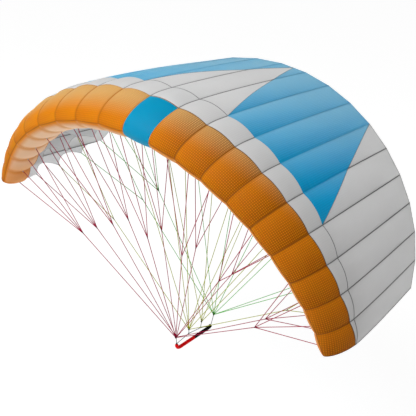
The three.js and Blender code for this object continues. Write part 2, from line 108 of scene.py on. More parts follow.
# Rib's lower edge: tabs in shares of the chord, and the hollow behind each
TABS = {"b": (0.257, -0.055, 0.07), "c": (0.48, -0.05, 0.06), "d": (0.737, -0.032, 0.03)}
TAB_HALF = 0.007
HOLLOW_ROUND = 0.8
HOLLOW_STEPS = 24
RIB_END = (0.962, 0.004)  # share of the chord, height there
A_TAB_U = 0.083
TAIL_TAB_AT = 2.985
BINDING_SIZE = 0.0013
BINDING_SIDES = 6
BINDING_TONE = 0.7
TAPE_SIZE = 0.0005
TAPE_WIDTH = 0.0048
TAPE_STEPS = 80
# The rib tape's dark tone is partly a dark join and partly painted shade in the crease where rib meets skin
TAPE_AND_CREASE_SHADE_TONE = 0.24
TAIL_TAPE_AT = 2.93

# Seams and stitches
NARROW_SEAM = 0.6  # width of a flat seam as a share of a rib seam's
SEAM_RAILS = ((-0.5, 0.15), (-0.22, 1.0), (0.22, 1.0), (0.5, 0.15))  # share of the width, share of the height
SEAM_HEIGHT = 0.0009
SEAM_POINTS = {"nose": 60, "band": 20, "rear": 100}
STITCH_RAILS = (-0.3, 0.3)
STITCH_LIFT = 0.0011
STITCH_SIDES = 3
THREAD_TONE = 1.25
# A seam's slot, its colour and tone, and the colour and tone that it is drawn paler to with painted light:
# sheen on the blue, the lit left on the nose
SEAM_TONES = {
    "orange": ("orange_cloth", ("orange", 0.38), ("orange", 0.62)),
    # Painted shadow: the front seam between orange and grey is a real seam, drawn dark as the shadow of its
    # fold
    "edge": ("orange_cloth", ("sheen_orange", 0.22), ("sheen_orange", 0.75)),
    "blue": ("blue_cloth", ("blue", 1.0), ("sheen_blue", 0.9)),
    "grey": ("grey_cloth", ("grey", 0.3), None),
}

# A branched line on the right side: its row, where it branches and the ribs it goes to
Junction = namedtuple("Junction", "group row place ribs")
# Lines tied into one knot: straight lines of a row by their ribs, and branched ones
Fan = namedtuple("Fan", "name node knot row ribs branched")
FRONT_JUNCTIONS = (
    Junction("inner", "a", (0.148, -0.429, 0.958), (0, 1, 2)),
    Junction("inner", "b", (0.148, -0.289, 0.955), (0, 1, 2)),
    Junction("middle", "a", (0.457, -0.429, 0.917), (3, 4, 5)),
    Junction("middle", "b", (0.451, -0.284, 0.901), (3, 4, 5)),
    Junction("tip", "a", (0.754, -0.408, 0.708), (6, 7, 8, 9)),
    Junction("tip", "b", (0.744, -0.279, 0.701), (6, 7, 8, 9)),
)
C_TIP = Junction("tip", "c", (0.769, -0.08, 0.683), (7, 9))
D_TIP = Junction("tip", "d", (0.775, 0.233, 0.722), (7, 9))
TAIL_TIP = Junction("tip", "tail", (0.769, 0.403, 0.737), (6, 7, 8, 9))
FRONT_KNOT = (0.0, -0.217, 0.112)
C_KNOT = (0.0, -0.077, 0.108)
D_KNOT = (0.0, 0.065, 0.104)
TAIL_KNOT = (0.0, 0.207, 0.095)
FANS = (
    Fan("olive_c", "c_lines", C_KNOT, "c", (1, 2, 4), (C_TIP,)),
    Fan("olive_d", "d_lines", D_KNOT, "d", (1, 4), ()),
    Fan("green_tail", "tail_lines", TAIL_KNOT, "tail", (1, 4), (D_TIP, TAIL_TIP)),
)
FRONT_ROWS = {"a": -1, "b": 1}
FRONT_KNOT_SPREAD = 0.008
FRONT_KNOT_SIZE = 0.008
FAN_KNOT_SIZE = 0.0075
JUNCTION_SIZE = 0.004
SPLICE = 0.07
SPLICE_MOST = 0.25  # of a short line
SPLICE_FULL = 0.8  # share of the splice before it thins out
SPLICE_SWELL = 1.1
KNOT_STEPS = 48
KNOT_HEIGHT = 1.6
KNOT_TONE = 0.1  # tone of a knot, whose turns shade each other, as a share of its line's
KNOT_ROPE = 0.3  # rope radius as a share of the knot's size
# Where a line darkens toward the knot that it starts from: distances along it, share and tone
KNOT_SHADE = {"near": (0.03, 0.008), "share": 0.85, "tone": 0.2}
LINE_BRAID = (6.0, 0.006)  # strands, pitch
LEADER_BRAID = (8.0, 0.009)

# Sewn line loops
LOOP_DROP = 0.009
LOOP_HANG = 0.7  # share of the loop's radius
LOOP_POINTS = 14
LOOP_SQUEEZE = 0.5
LOOP_BAND = (0.004, 0.0009)
LOOP_TONE = 0.55

# Hand bar, in the middle plane, as (along, up)
BAR_PATH = (
    (-0.204, 0.043), (-0.199, 0.024), (-0.184, 0.007), (-0.162, 0.0005), (-0.135, 0.0), (-0.07, 0.0),
    (0.0, 0.0), (0.07, 0.0), (0.13, 0.0), (0.154, 0.0005), (0.172, 0.004), (0.186, 0.013),
)
BAR_JOINT = -0.007
BAR_STEP = 0.003
BAR_RUN_STEPS = 24
BAR_END_ROUND = 0.007
BAR_END_LOSS = 0.3
BAR_SIDES = 28
TRIM_START = 0.007
TRIM_C = (0.0, -0.073, 0.071)
TRIM_D = (0.0, 0.061, 0.052)
TRIM_SEAT = (0.0, 0.178, 0.008)
TRIM_KNOT = 1.3  # size as a share of the line's

# Painted sheen on the blue cloth, paler toward the crown, the tail and each cell's upper side: weights, start
# and end
BLUE_SHEEN = {"up": 1.6, "along": 0.66, "across": 0.42, "start": 2.44, "end": 3.64}
# Painted sheen on the orange cloth, paler toward the crown's front seam and the left: weights, start and end
ORANGE_SHEEN = {"forward": 1.2, "left": 0.3, "start": 2.35, "end": 3.15}
# Painted shade on the orange cloth, darker toward each cell's lower side and toward the tips: levels, share
# and tone
LOWER_SIDE_SHADE = (0.35, 0.6)
LOW_SHADE = (1.6, 0.9, 0.4, 0.7)
# Painted light: how much fainter the cloth's grid is drawn on the lit left, and where it changes
GRID_FAINT_WHERE_LIT = 0.3
GRID_SIDES = (-0.35, 0.25)
# Where the nose's seams are drawn paler, as painted light on the lit left
LEFT_LIGHT_SIDES = (0.35, -0.35)
# Where the nose floor's painted sheen gives way to its orange: stations below the chin, levels toward the
# tips, and beside the ribs as painted shade
FLOOR_CHIN = (-0.25, -0.02)
FLOOR_TIPS = (1.2, 0.98, 0.7)
FLOOR_RIB_SHADE = (0.26, 0.0, 0.75)

# Cloths: strength of the ripstop grid, sheen, gloss, tone of its threads, and share and tone of the painted
# shade beside the ribs
Cloth = namedtuple("Cloth", "contrast sheen gloss thread beside", defaults=(0.55, (0.2, 0.72)))
CLOTHS = {
    "orange": Cloth(0.85, 0.0, 0.03, 0.5, (0.3, 0.5)),
    "pale_orange": Cloth(0.2, 0.0, 0.05, beside=(0.3, 0.7)),
    "bright_blue": Cloth(0.15, 0.0, 0.1),
    "blue": Cloth(0.3, 0.2, 0.12),
    "grey": Cloth(0.1, 0.3, 0.25, beside=(0.3, 0.72)),
    "rib": Cloth(0.15, 0.4, 0.25),
}
THREAD_EDGE = (0.18, 0.62)
# How far the painted shade beside a rib reaches across its cell
RIB_SHADE_REACH = 0.09
# Painted light: the grid is drawn weaker toward a cell's upper side, which is painted as its lit side
GRID_CELL = (1.35, 0.7)  # strength at a cell's lower side, and how much weaker it gets
GRID_ROUGH = 0.06
CLOTH_RELIEF = (0.8, 0.25)  # heights of the grid and the weave
WEAVE = (900.0, 1.0)
SHEEN_ROUGH = 0.25
LIGHT_SHARES = (1.0, 1.0, 1.0)  # how far red, green and blue light go into the cloth
BRAID_EDGE = (-0.6, 0.8)
GRAIN = (1400.0, 2.0)
GRAIN_ROUGH = 0.1
# Surfaces: gloss, noise, dark and light tone, roughness and its change, and the relief's depth and strength
Surface = namedtuple("Surface", "gloss noise tones rough relief")
WOVEN = Surface(None, (2.2, 3.0), (0.94, 1.05), (0.52, 0.12), (0.0006, 0.6))
SEWN = Surface(0.15, (260.0, 2.0), (0.85, 1.12), (0.6, 0.15), (0.0004, 0.5))
BRAIDED = Surface(0.05, None, (0.75, 1.15), (0.92, -0.1), (0.0003, 0.7))
MOULDED = Surface(0.12, (22.0, 3.0), (0.8, 1.2), (0.58, 0.15), (0.0004, 0.5))

# Stage
CAMERA_AT = (3.576, -4.869, 4.565)
CAMERA_RIGHT = (0.77115, 0.63033, 0.08955)
CAMERA_UP = (-0.37726, 0.3391, 0.86179)
CAMERA_BACK = (0.51284, -0.69835, 0.49929)
SENSOR = 36.0
FLOOR_HALF = 60.0
FLOOR_ROUGH = 0.9
KEY_AT = (0.0, -4.0, 6.9)
SIDE_AT = (-3.5, -4.0, 5.5)
LAMP_AIM = (0.0, 0.0, 1.5)
LAMP_SIZE = 4.0


# Settings

def number(name, description, default, **more):
    """A plain number setting."""
    more = {"precision": 3, **more}
    return bpy.props.FloatProperty(name=name, description=description, default=default, **more)


def length(*words):
    """A length setting in metres."""
    return number(*words, unit="LENGTH", precision=4)


def colour(name, description, default):
    """A colour setting."""
    return bpy.props.FloatVectorProperty(
        name=name, description=description, default=default, subtype="COLOR", size=3, min=0.0, max=1.0
    )


class PARAWING_PG_plan(bpy.types.PropertyGroup):
    """Driving sizes of the wing."""

    centre_chord: length("Centre chord", "Chord of the middle cell", 1.57)
    cell_width: length("Cell width", "Rib to rib at the centre", 0.203)
    nose_ahead: length("Nose ahead", "Front end of the chord line, ahead of the bar's middle", 0.747)
    nose_above: length("Nose above", "Front end of the chord line, above the bar's middle", 1.884)


class PARAWING_PG_cloth(bpy.types.PropertyGroup):
    """Cloth, seams and stitches."""

    skin: length("Skin", "Thickness of a sheet", 0.0012)
    through: length("Light depth", "How far light goes into the cloth", 0.006)
    ripstop: length("Ripstop pitch", "Side of the ripstop squares", 0.012)
    gather: length("Gather depth", "Depth of the gathers beside a rib seam", 0.0004)
    seam_width: length("Seam width", "Width of a folded rib seam", 0.006)
    stitch_pitch: length("Stitch pitch", "Distance from stitch to stitch", 0.006)
    stitch_length: length("Stitch length", "Length of one stitch", 0.0042)
    stitch_size: length("Thread", "Radius of the sewing thread", 0.00045)
    loop_size: length("Line loop", "Radius of a sewn line loop", 0.006)
    orange: colour("Orange", "Nose cloth", (0.685, 0.197, 0.005))
    # Painted sheen: the pale orange that the nose is drawn toward at the crown's front seam and on the left
    sheen_orange: colour("Orange under painted sheen", "Nose cloth at the crown", (0.61, 0.325, 0.11))
    # Painted sheen: the nose floor is orange cloth, drawn in this pale tone where the light grazes it
    pale_orange: colour("Pale orange", "Floor of the nose", (0.9, 0.46, 0.28))
    bright_blue: colour("Bright blue", "Centre of the nose", (0.0, 0.25, 0.44))
    blue: colour("Blue", "Rear blue panels", (0.0, 0.31, 0.6))
    # Painted sheen: the pale blue that the rear panels are drawn toward at the crown and the tail
    sheen_blue: colour("Blue under painted sheen", "Rear blue panels at the crown and tail", (0.2, 0.45, 0.64))
    grey: colour("Grey", "Pale grey panels", (0.6, 0.6, 0.6))
    rib: colour("Rib", "Rib cloth", (0.74, 0.745, 0.75))


class PARAWING_PG_lines(bpy.types.PropertyGroup):
    """Lines and leaders."""

    red_size: length("Red line", "Diameter of the front lines", 0.0047)
    fine_size: length("Fine line", "Diameter of the rear lines", 0.0045)
    leader_size: length("Leader", "Diameter of the leaders and the trim line", 0.0042)
    red: colour("Red", "Front lines", (0.4, 0.01, 0.055))
    olive: colour("Olive", "Rear lines", (0.45, 0.5, 0.02))
    green: colour("Green", "Trailing-edge lines", (0.1, 0.62, 0.04))
    cord: colour("Leader", "Leaders and trim line", (0.075, 0.075, 0.08))


class PARAWING_PG_bar(bpy.types.PropertyGroup):
    """Hand bar."""

    size: length("Diameter", "Diameter of the grips", 0.0255)
    red: colour("Front grip", "Front half of the bar", (0.76, 0.0, 0.002))
    black: colour("Rear grip", "Rear half of the bar", (0.004, 0.004, 0.0045))


class PARAWING_PG_stage(bpy.types.PropertyGroup):
    """Floor, lights and camera."""

    floor: length("Floor", "Level of the floor", -1.3)
    pale: colour("Floor colour", "Colour of the floor's own light", (1.0, 1.0, 1.0))
    reflecting: colour("Floor paint", "Share of the lamps' light that the floor gives back", (0.3, 0.3, 0.3))
    glow: number("Floor glow", "Light that the floor itself gives", 0.905)
    sky: number("Sky", "Strength of the even light", 0.17)
    key: number("Key", "Strength of the light above the nose, in watts", 370.0)
    side: number("Side", "Strength of the light ahead on the left, in watts", 115.0)
    lens: number("Lens", "Focal length of the camera, in millimetres", 89.78)


# Flying shape

def lerp(a, b, share):
    """The value a share of the way from a to b."""
    return a + (b - a) * share


def unit(vectors):
    """Vectors of length one."""
    return vectors / np.maximum(np.linalg.norm(vectors, axis=-1, keepdims=True), 1e-12)


def around(values, step, low, high):
    """Values a step lower and a step higher, kept within bounds."""
    return np.clip(values - step, low, high), np.clip(values + step, low, high)


def travelled(path):
    """Distance along a path to each of its points."""
    return np.concatenate([[0], np.cumsum(np.linalg.norm(np.diff(path, axis=0), axis=1))])


def even_powers(parts, share):
    """Parts by the second, fourth and further even powers of a share."""
    return sum(part * share ** (2 * k + 2) for k, part in enumerate(parts))


def moved(place_along, share):
    """A place along the chord, moved toward that at the tip."""
    centre, tip, power = place_along
    return lerp(centre, tip, share**power)


def nose_at(share):
    """Front end of the section, which is blunter a little inboard of the tip."""
    centre, blunt, rise, fall = NOSE
    return centre + blunt * share**rise * (1 - share**fall)


def upper_height(u, nose):
    """Height of the upper skin over the chord line, behind a nose at a given place."""
    behind = np.clip((u - CREST[0]) / (1 - CREST[0]), 0, None)
    ahead = np.clip((CREST[0] - u) / (CREST[0] - nose), 0, 1)
    front = CREST[1] * (1 - ahead**NOSE_ROUND) ** (1 / NOSE_ROUND)
    return np.where(u > CREST[0], CREST[1] * (1 - behind**TAIL_BEND), front)


def chin_point(degrees, nose):
    """Point on the nose's lower quarter."""
    angle = np.radians(degrees)
    return BELLY[0] - (BELLY[0] - nose) * np.cos(angle), BELLY[1] * np.sin(angle)


def nose_point(degrees, nose):
    """Point on the nose's upper quarter."""
    angle = np.radians(np.clip(degrees, 0, 90))
    power = 2 / NOSE_ROUND
    return CREST[0] - (CREST[0] - nose) * np.cos(angle) ** power, CREST[1] * np.sin(angle) ** power


def profile(share, w):
    """Point of the section at a profile station, in shares of the chord."""
    share, w = np.broadcast_arrays(np.asarray(share, float), np.asarray(w, float))
    nose, front, back = nose_at(share), moved(FRONT_SEAM, share), moved(BACK_SEAM, share)
    run = np.clip((BELLY_AT - w) / (BELLY_AT - FLOOR_REAR), 0, 1)
    floor = (lerp(BELLY[0], moved(FLOOR_END, share), run), lerp(BELLY[1], FLOOR_END_UP, run))
    chin = chin_point(lerp(CHIN_DEG, 90, np.clip(w / BELLY_AT, 0, 1)), nose)
    top = np.degrees(np.arccos(((CREST[0] - front) / (CREST[0] - nose)) ** (NOSE_ROUND / 2)))
    degrees = lerp(-CHIN_DEG, top, np.clip(w, 0, 1))
    under = chin_point(np.maximum(-degrees, 0), nose)
    over = nose_point(degrees, nose)
    band, rear = lerp(front, back, np.clip(w - FRONT, 0, 1)), lerp(back, 1, np.clip(w - BACK, 0, 1))
    u = np.where(w <= BACK, band, rear)
    stretches = [w <= BELLY_AT, w <= CHIN, (w <= FRONT) & (degrees < 0), w <= FRONT]
    rest = (u, upper_height(u, nose))
    return tuple(np.select(stretches, [p[k] for p in (floor, chin, under, over)], rest[k]) for k in (0, 1))


class Wing:
    """The flying shape, worked out from the plan's driving sizes."""

    def __init__(self, plan, gather=0.0):
        loss, power = TIP_CELL_LOSS
        half = [plan.cell_width / 2]
        for k in range(1, RIBS_PER_SIDE):
            half.append(half[-1] + plan.cell_width * (1 - loss * (k / (RIBS_PER_SIDE - 1)) ** power))
        self.gather = gather
        self.half = np.array(half)
        self.tip = half[-1]
        self.stations = np.concatenate([-self.half[::-1], self.half])
        reach, side = np.abs(self.stations), np.sign(self.stations)
        self.share = reach / self.tip
        roll = side * self.roll_at(self.share)
        self.chord = plan.centre_chord * (1 - even_powers(CHORD_LOSS, self.share))
        steps = (np.arange(ARC_STEPS) + 0.5) / ARC_STEPS
        bend = self.roll_at(self.share[:, None] * steps)
        across, down = side * reach * np.cos(bend).mean(1), reach * np.sin(bend).mean(1)
        sweep = even_powers(SWEEP, self.share)
        self.front = np.stack([across, sweep - plan.nose_ahead, plan.nose_above - down], 1)
        self.up = np.stack([np.sin(roll), np.zeros_like(roll), np.cos(roll)], 1)
        self.arc_at = np.linspace(FLOOR_REAR, TAIL, ARC_POINTS)
        arc = travelled(np.stack(profile(0.0, self.arc_at), 1))
        self.arc = arc - np.interp(FRONT, self.arc_at, arc)

    @staticmethod
    def roll_at(share):
        """Roll of the cloth's arc, by the share of the half span."""
        return np.radians(sum(part * share ** (2 * k + 1) for k, part in enumerate(ROLL_DEG)))

    def index(self, side, number):
        """Place of a numbered rib in the row of all ribs."""
        return RIBS_PER_SIDE + number if side > 0 else RIBS_PER_SIDE - 1 - number

    def rib_point(self, i, u, h):
        """Point in a rib's plane, given in shares of its chord."""
        point = self.front[i] + self.up[i] * np.asarray(h * self.chord[i])[..., None]
        point[..., 1] += u * self.chord[i]
        return point

    def in_rib(self, i, flat_points, away=0.0):
        """Points of a rib's plane in space, given in metres and by how far they stand out of it."""
        in_plane = flat_points[:, :1] * ALONG + flat_points[:, 1:] * self.up[i]
        return self.front[i] + in_plane + np.cross(ALONG, self.up[i]) * away

    def on_rib(self, i, w):
        """Point of the section on a rib."""
        return self.rib_point(i, *profile(self.share[i], w))

    def cell(self, s):
        """Rib to the right of a place on the span, and the share of the way across its cell."""
        right = np.clip(np.searchsorted(self.stations, s), 1, len(self.stations) - 1)
        left = self.stations[right - 1]
        return right, (s - left) / (self.stations[right] - left)

    def travel(self, s, w):
        """Length of cloth along the chord from the front seam."""
        return np.interp(w, self.arc_at, self.arc) * np.interp(s, self.stations, self.chord)

    def gathers(self, right, t, width, s, w):
        """Small gathers of the cloth beside the rib seams."""
        along = self.travel(s, w) * (2 * np.pi / GATHER_PITCH)
        total = np.zeros_like(along)
        for rib, away in ((right - 1, t * width), (right, (1 - t) * width)):
            near = away / GATHER_REACH
            wave = sum(high * np.sin(rate * along + shift * rib) for high, rate, shift in GATHER_WAVES)
            total += near * np.exp(1 - near) * wave
        return self.gather * total * np.clip(TAIL - w, 0, 1)

    def surface(self, s, w):
        """Point of the cloth: ruled between two ribs and swollen along its normal."""
        s, w = np.broadcast_arrays(np.asarray(s, float), np.asarray(w, float))
        right, t = self.cell(s)

        def ruled(at):
            at = np.clip(at, FLOOR_REAR, TAIL)
            return lerp(self.on_rib(right - 1, at), self.on_rib(right, at), t[..., None])

        span = self.on_rib(right, w) - self.on_rib(right - 1, w)
        normal = unit(np.cross(span, ruled(w + W_STEP) - ruled(w - W_STEP)))
        width = np.linalg.norm(span, axis=-1)
        swell = np.mean([np.interp(w + ease, SWELL_AT, SWELL) for ease in SWELL_EASE], axis=0)
        more, power, full = TIP_SWELL
        swell += more * (np.abs(s) / self.tip) ** power * np.clip(-w / full, 0, 1)
        rise = swell * width * 4 * t * (1 - t) + self.gathers(right, t, width, s, w)
        return ruled(w) + normal * rise[..., None]

    def normal(self, s, w):
        """Outward normal of the cloth."""
        s, w = np.broadcast_arrays(np.asarray(s, float), np.asarray(w, float))
        left, right = around(s, S_STEP, -self.tip, self.tip)
        before, after = around(w, W_STEP, FLOOR_REAR, TAIL)
        across = self.surface(right, w) - self.surface(left, w)
        return unit(np.cross(across, self.surface(s, after) - self.surface(s, before)))

    def stations_per_metre(self, s, w):
        """Profile stations for a metre of cloth along the chord."""
        before, after = around(w, W_STEP, FLOOR_REAR, TAIL)
        return (after - before) / np.linalg.norm(self.surface(s, after) - self.surface(s, before), axis=-1)

    def columns(self, start, stop):
        """Places across the span: a panel's ends, the ribs and steps between them, closer near the ribs."""
        steps = (1 - np.cos(np.pi * np.arange(CELL_STEPS) / CELL_STEPS)) / 2
        inner = (self.stations[:-1, None] + np.diff(self.stations)[:, None] * steps).ravel()
        return np.concatenate([[start], inner[(inner > start + POINT) & (inner < stop - POINT)], [stop]])

    def slant(self, s, back, tail):
        """Profile station of a seam that runs from the back seam to the trailing edge."""
        return TAIL - np.clip((np.abs(s) - tail) / (back - tail), 0, 1)

    def inner_seam(self, s):
        """Seam between the grey centre and a blue panel."""
        return self.slant(s, self.half[INNER_RIB], 0.0)

    def outer_seam(self, s):
        """Seam between a blue panel and a tip panel."""
        return self.slant(s, self.half[OUTER_RIB], self.half[OUTER_TAIL_RIB])

    def tab(self, i, row):
        """Where a line of a row meets a rib."""
        if row in TABS:
            return self.rib_point(i, *TABS[row][:2])
        if row == "tail":
            return self.surface(self.stations[i], TAIL_TAB_AT)
        cosine = (BELLY[0] - A_TAB_U) / (BELLY[0] - nose_at(self.share[i]))
        degrees = math.degrees(math.acos(cosine))
        return self.surface(self.stations[i], BELLY_AT * (degrees - CHIN_DEG) / (90 - CHIN_DEG))


# Meshes

def sheet_faces(cols, rows):
    """Faces of a closed sheet whose outer points come first, column by column, and its inner ones after."""
    back = cols * rows
    a = (np.arange(cols - 1)[:, None] * rows + np.arange(rows - 1)).ravel()
    i = np.arange(cols - 1) * rows
    j = np.arange(rows - 1)
    k = i + rows - 1
    last = (cols - 1) * rows + j
    quads = (
        (a, a + rows, a + rows + 1, a + 1),
        (a + back, a + back + 1, a + back + rows + 1, a + back + rows),
        (i, i + back, i + back + rows, i + rows),
        (k, k + rows, k + back + rows, k + back),
        (j, j + 1, j + back + 1, j + back),
        (last, last + back, last + back + 1, last + 1),
    )
    return np.concatenate([np.stack(corners, 1) for corners in quads])


def knot_path():
    """A tied knot's closed path, of size one."""
    t = 2 * np.pi * np.arange(KNOT_STEPS) / KNOT_STEPS
    x, y = np.sin(t) + 2 * np.sin(2 * t), np.cos(t) - 2 * np.cos(2 * t)
    path = np.stack([x, y, -KNOT_HEIGHT * np.sin(3 * t)], 1)
    return path / np.abs(path).max() * (1 - KNOT_ROPE)


class Stack:
    """Gathers the points, faces and texture places of many small shapes into one mesh."""

    def __init__(self):
        self.points, self.faces, self.maps, self.count = [], [], {}, 0

    def add(self, points, faces, **maps):
        """Adds a shape; each map holds one texture place for each point."""
        self.points.append(points)
        self.faces.extend([tuple(int(i) + self.count for i in face) for face in faces])
        for name, places in maps.items():
            self.maps.setdefault(name, []).append(places)
        self.count += len(points)

    def sheet(self, outside, inside, **maps):
        """Adds a closed sheet between two grids of points."""
        points = np.concatenate([outside.reshape(-1, 3), inside.reshape(-1, 3)])
        doubled = {name: np.concatenate([places.reshape(-1, 2)] * 2) for name, places in maps.items()}
        self.add(points, sheet_faces(*outside.shape[:2]), **doubled)

    def tube(self, path, radii, sides=LINE_SIDES, closed=False):
        """Adds a round tube along a path, capped unless the path is closed."""
        path = np.asarray(path, float)
        count = len(path)
        ahead = np.roll(path, -1, 0) - np.roll(path, 1, 0) if closed else np.gradient(path, axis=0)
        tangents = unit(ahead)
        across = np.cross(tangents[0], UP)
        if np.linalg.norm(across) < UPRIGHT:
            across = np.cross(tangents[0], ACROSS)
        rails = []
        for tangent in tangents:
            across = unit(across - tangent * np.dot(across, tangent))
            rails.append(across)
        rails = np.array(rails)
        other = np.cross(tangents, rails)
        angles = 2 * np.pi * np.arange(sides)[:, None] / sides
        radii = np.broadcast_to(np.asarray(radii, float), count)
        turn = rails[:, None] * np.cos(angles) + other[:, None] * np.sin(angles)
        points = (path[:, None] + turn * radii[:, None, None]).reshape(-1, 3)
        strand = np.stack(np.broadcast_arrays(np.arange(sides) / sides, travelled(path)[:, None]), -1)
        faces = []
        for ring in range(count if closed else count - 1):
            near, far = ring * sides, (ring + 1) % count * sides
            steps = ((k, (k + 1) % sides) for k in range(sides))
            faces.extend((near + k, near + step, far + step, far + k) for k, step in steps)
        if not closed:
            faces.append(tuple(reversed(range(sides))))
            faces.append(tuple(range((count - 1) * sides, count * sides)))
        self.add(points, faces, strand=strand.reshape(-1, 2))

    def line(self, start, end, size):
        """Adds a taut line with a thicker splice at both ends."""
        start, end = np.asarray(start, float), np.asarray(end, float)
        whole = np.linalg.norm(end - start)
        splice = min(SPLICE, SPLICE_MOST * whole) / whole
        full = SPLICE_FULL * splice
        shares = np.array((0.0, full, splice, 0.5, 1 - splice, 1 - full, 1.0))
        thick = np.array((SPLICE_SWELL, SPLICE_SWELL, 1.0, 1.0, 1.0, SPLICE_SWELL, SPLICE_SWELL))
        self.tube(lerp(start, end, shares[:, None]), thick * (size / 2))

    def knot(self, centre, direction, size):
        """Adds a tied knot round a line that runs along a direction."""
        turn = np.array(Vector(direction).to_track_quat("Z", "Y").to_matrix())
        self.tube(centre + (knot_path() * size) @ turn.T, KNOT_ROPE * size, closed=True)

    def mesh(self, name):
        """The gathered mesh, smooth but for its sharp edges."""
        mesh = bpy.data.meshes.new(name)
        mesh.from_pydata(np.concatenate(self.points).tolist(), [], self.faces)
        corners = np.zeros(len(mesh.loops), int)
        mesh.loops.foreach_get("vertex_index", corners)
        starts = np.zeros(len(mesh.polygons), int)
        mesh.polygons.foreach_get("loop_start", starts)
        sizes = np.diff(np.append(starts, len(corners)))
        for key, places in self.maps.items():
            layer = mesh.uv_layers.new(name=key)
            at = np.concatenate(places)[corners]
            # A face that closes the turn round a line goes on past one
            if key == "strand":
                farthest = np.repeat(np.maximum.reduceat(at[:, 0], starts), sizes)
                at[:, 0] += farthest - at[:, 0] > 0.5
            layer.data.foreach_set("uv", at.astype(np.float32).ravel())
        mesh.polygons.foreach_set("use_smooth", np.ones(len(mesh.polygons), bool))
        mesh.set_sharp_from_angle(angle=math.radians(SHARP_DEG))
        mesh.validate()
        return mesh

    def put(self, name, material, slot, *nodes):
        """Puts the gathered mesh in the scene as a piece."""
        return place(name, self.mesh(name), material, slot, *nodes)


def place(name, mesh, material, slot, *nodes):
    """Puts a finished piece in the scene, on the body, in place of the nodes it stands for."""
    piece = bpy.data.objects.new(name, mesh)
    bpy.context.scene.collection.objects.link(piece)
    if material is not None:
        mesh.materials.clear()
        mesh.materials.append(material)
    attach(piece, BODY)
    if nodes:
        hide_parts(*nodes)
    return piece


# Node trees

class Value:
    """A socket of a node tree that takes Python's arithmetic."""

    def __init__(self, graph, socket):
        self.graph, self.socket = graph, socket

    def pick(self, name):
        """Another output of the same node."""
        return Value(self.graph, self.socket.node.outputs[name])

    def math(self, operation, *others):
        """A Math node on this value and others."""
        return self.graph.node("ShaderNodeMath", {"operation": operation}, dict(enumerate((self, *others))))

    def __add__(self, other):
        return self.math("ADD", other)

    def __sub__(self, other):
        return self.math("SUBTRACT", other)

    def __rsub__(self, other):
        return self.graph.node("ShaderNodeMath", {"operation": "SUBTRACT"}, {0: other, 1: self})

    def __mul__(self, other):
        return self.math("MULTIPLY", other)

    def __truediv__(self, other):
        return self.math("DIVIDE", other)

    __radd__, __rmul__ = __add__, __mul__


class Graph:
    """A node tree being built."""

    def __init__(self, tree):
        self.tree = tree

    def node(self, kind, settings=None, sockets=None, out=0):
        """Adds a node, sets it, fills its sockets with values or links, and gives one of its outputs."""
        node = self.tree.nodes.new(kind)
        for name, value in (settings or {}).items():
            setattr(node, name, value)
        for key, value in (sockets or {}).items():
            if isinstance(value, Value):
                self.tree.links.new(value.socket, node.inputs[key])
            else:
                node.inputs[key].default_value = value
        return Value(self, node.outputs[out]) if node.outputs else node


def as_colour(value):
    """A colour with its alpha, or a link as it is."""
    return value if isinstance(value, Value) else (*value[:3], 1.0)


def tinted(base, factor):
    """A darker or lighter tone of a colour."""
    return tuple(min(1.0, part * factor) for part in base[:3])


class Shade(Graph):
    """A material being built around one surface shader."""

    def __init__(self, name, fixed):
        self.material = bpy.data.materials.new(name)
        self.material.use_nodes = True
        super().__init__(self.material.node_tree)
        self.surface = self.tree.nodes["Principled BSDF"]
        for socket, value in fixed.items():
            self.surface.inputs[socket].default_value = value

    def feed(self, socket, value):
        """Links a value to a socket of the surface shader."""
        self.tree.links.new(value.socket, self.surface.inputs[socket])

    def mix(self, share, a, b, blend="MIX"):
        """Colour a share of the way from a to b, or to a blend of both."""
        tones = {0: share, 6: as_colour(a), 7: as_colour(b)}
        return self.node("ShaderNodeMix", {"data_type": "RGBA", "blend_type": blend}, tones, out=2)

    def toned(self, share, base, tones):
        """Colour a share of the way from a base's dark tone to its light one."""
        return self.mix(share, tinted(base, tones[0]), tinted(base, tones[1]))

    def step(self, value, low, high):
        """A soft step from nought to one."""
        limits = {"Value": value, "From Min": low, "From Max": high}
        return self.node("ShaderNodeMapRange", {"interpolation_type": "SMOOTHSTEP"}, limits)

    def noise(self, scale, detail):
        """Soft noise in the part's own place."""
        where = self.node("ShaderNodeTexCoord", out="Object")
        return self.node("ShaderNodeTexNoise", {}, {"Vector": where, "Scale": scale, "Detail": detail})

    def bump(self, height, depth, strength):
        """Raises the surface by a height."""
        relief = {"Height": height, "Distance": depth, "Strength": strength}
        self.feed("Normal", self.node("ShaderNodeBump", {}, relief))

    def parts(self, vector):
        """The three parts of a vector."""
        first = self.node("ShaderNodeSeparateXYZ", {}, {"Vector": vector})
        return first, first.pick("Y"), first.pick("Z")

    def place(self):
        """The part's own coordinates: across, along and up."""
        return self.parts(self.node("ShaderNodeTexCoord", out="Object"))

    def texture(self, name):
        """The two coordinates of one of the piece's own maps."""
        return self.parts(self.node("ShaderNodeUVMap", {"uv_map": name}))[:2]


# Finishes

def blue_sheen_share(shade, upper):
    """Share of painted sheen on the blue cloth, toward the crown, the tail and each cell's upper side."""
    _, along, up = shade.place()
    sheen_level = up * BLUE_SHEEN["up"] + along * BLUE_SHEEN["along"] + (upper - 0.5) * BLUE_SHEEN["across"]
    return shade.step(sheen_level, BLUE_SHEEN["start"], BLUE_SHEEN["end"])


def left_light_share(shade, upper):
    """Share of painted light on a nose seam, which is drawn paler toward the lit left."""
    return shade.step(shade.place()[0], *LEFT_LIGHT_SIDES)


def blue_tone(shade, look, tone, upper, w):
    """The rear blue cloth, drawn paler with painted sheen toward the crown, the tail and each cell's upper
    side.
    """
    return shade.mix(blue_sheen_share(shade, upper), tone, look.sheen_blue)


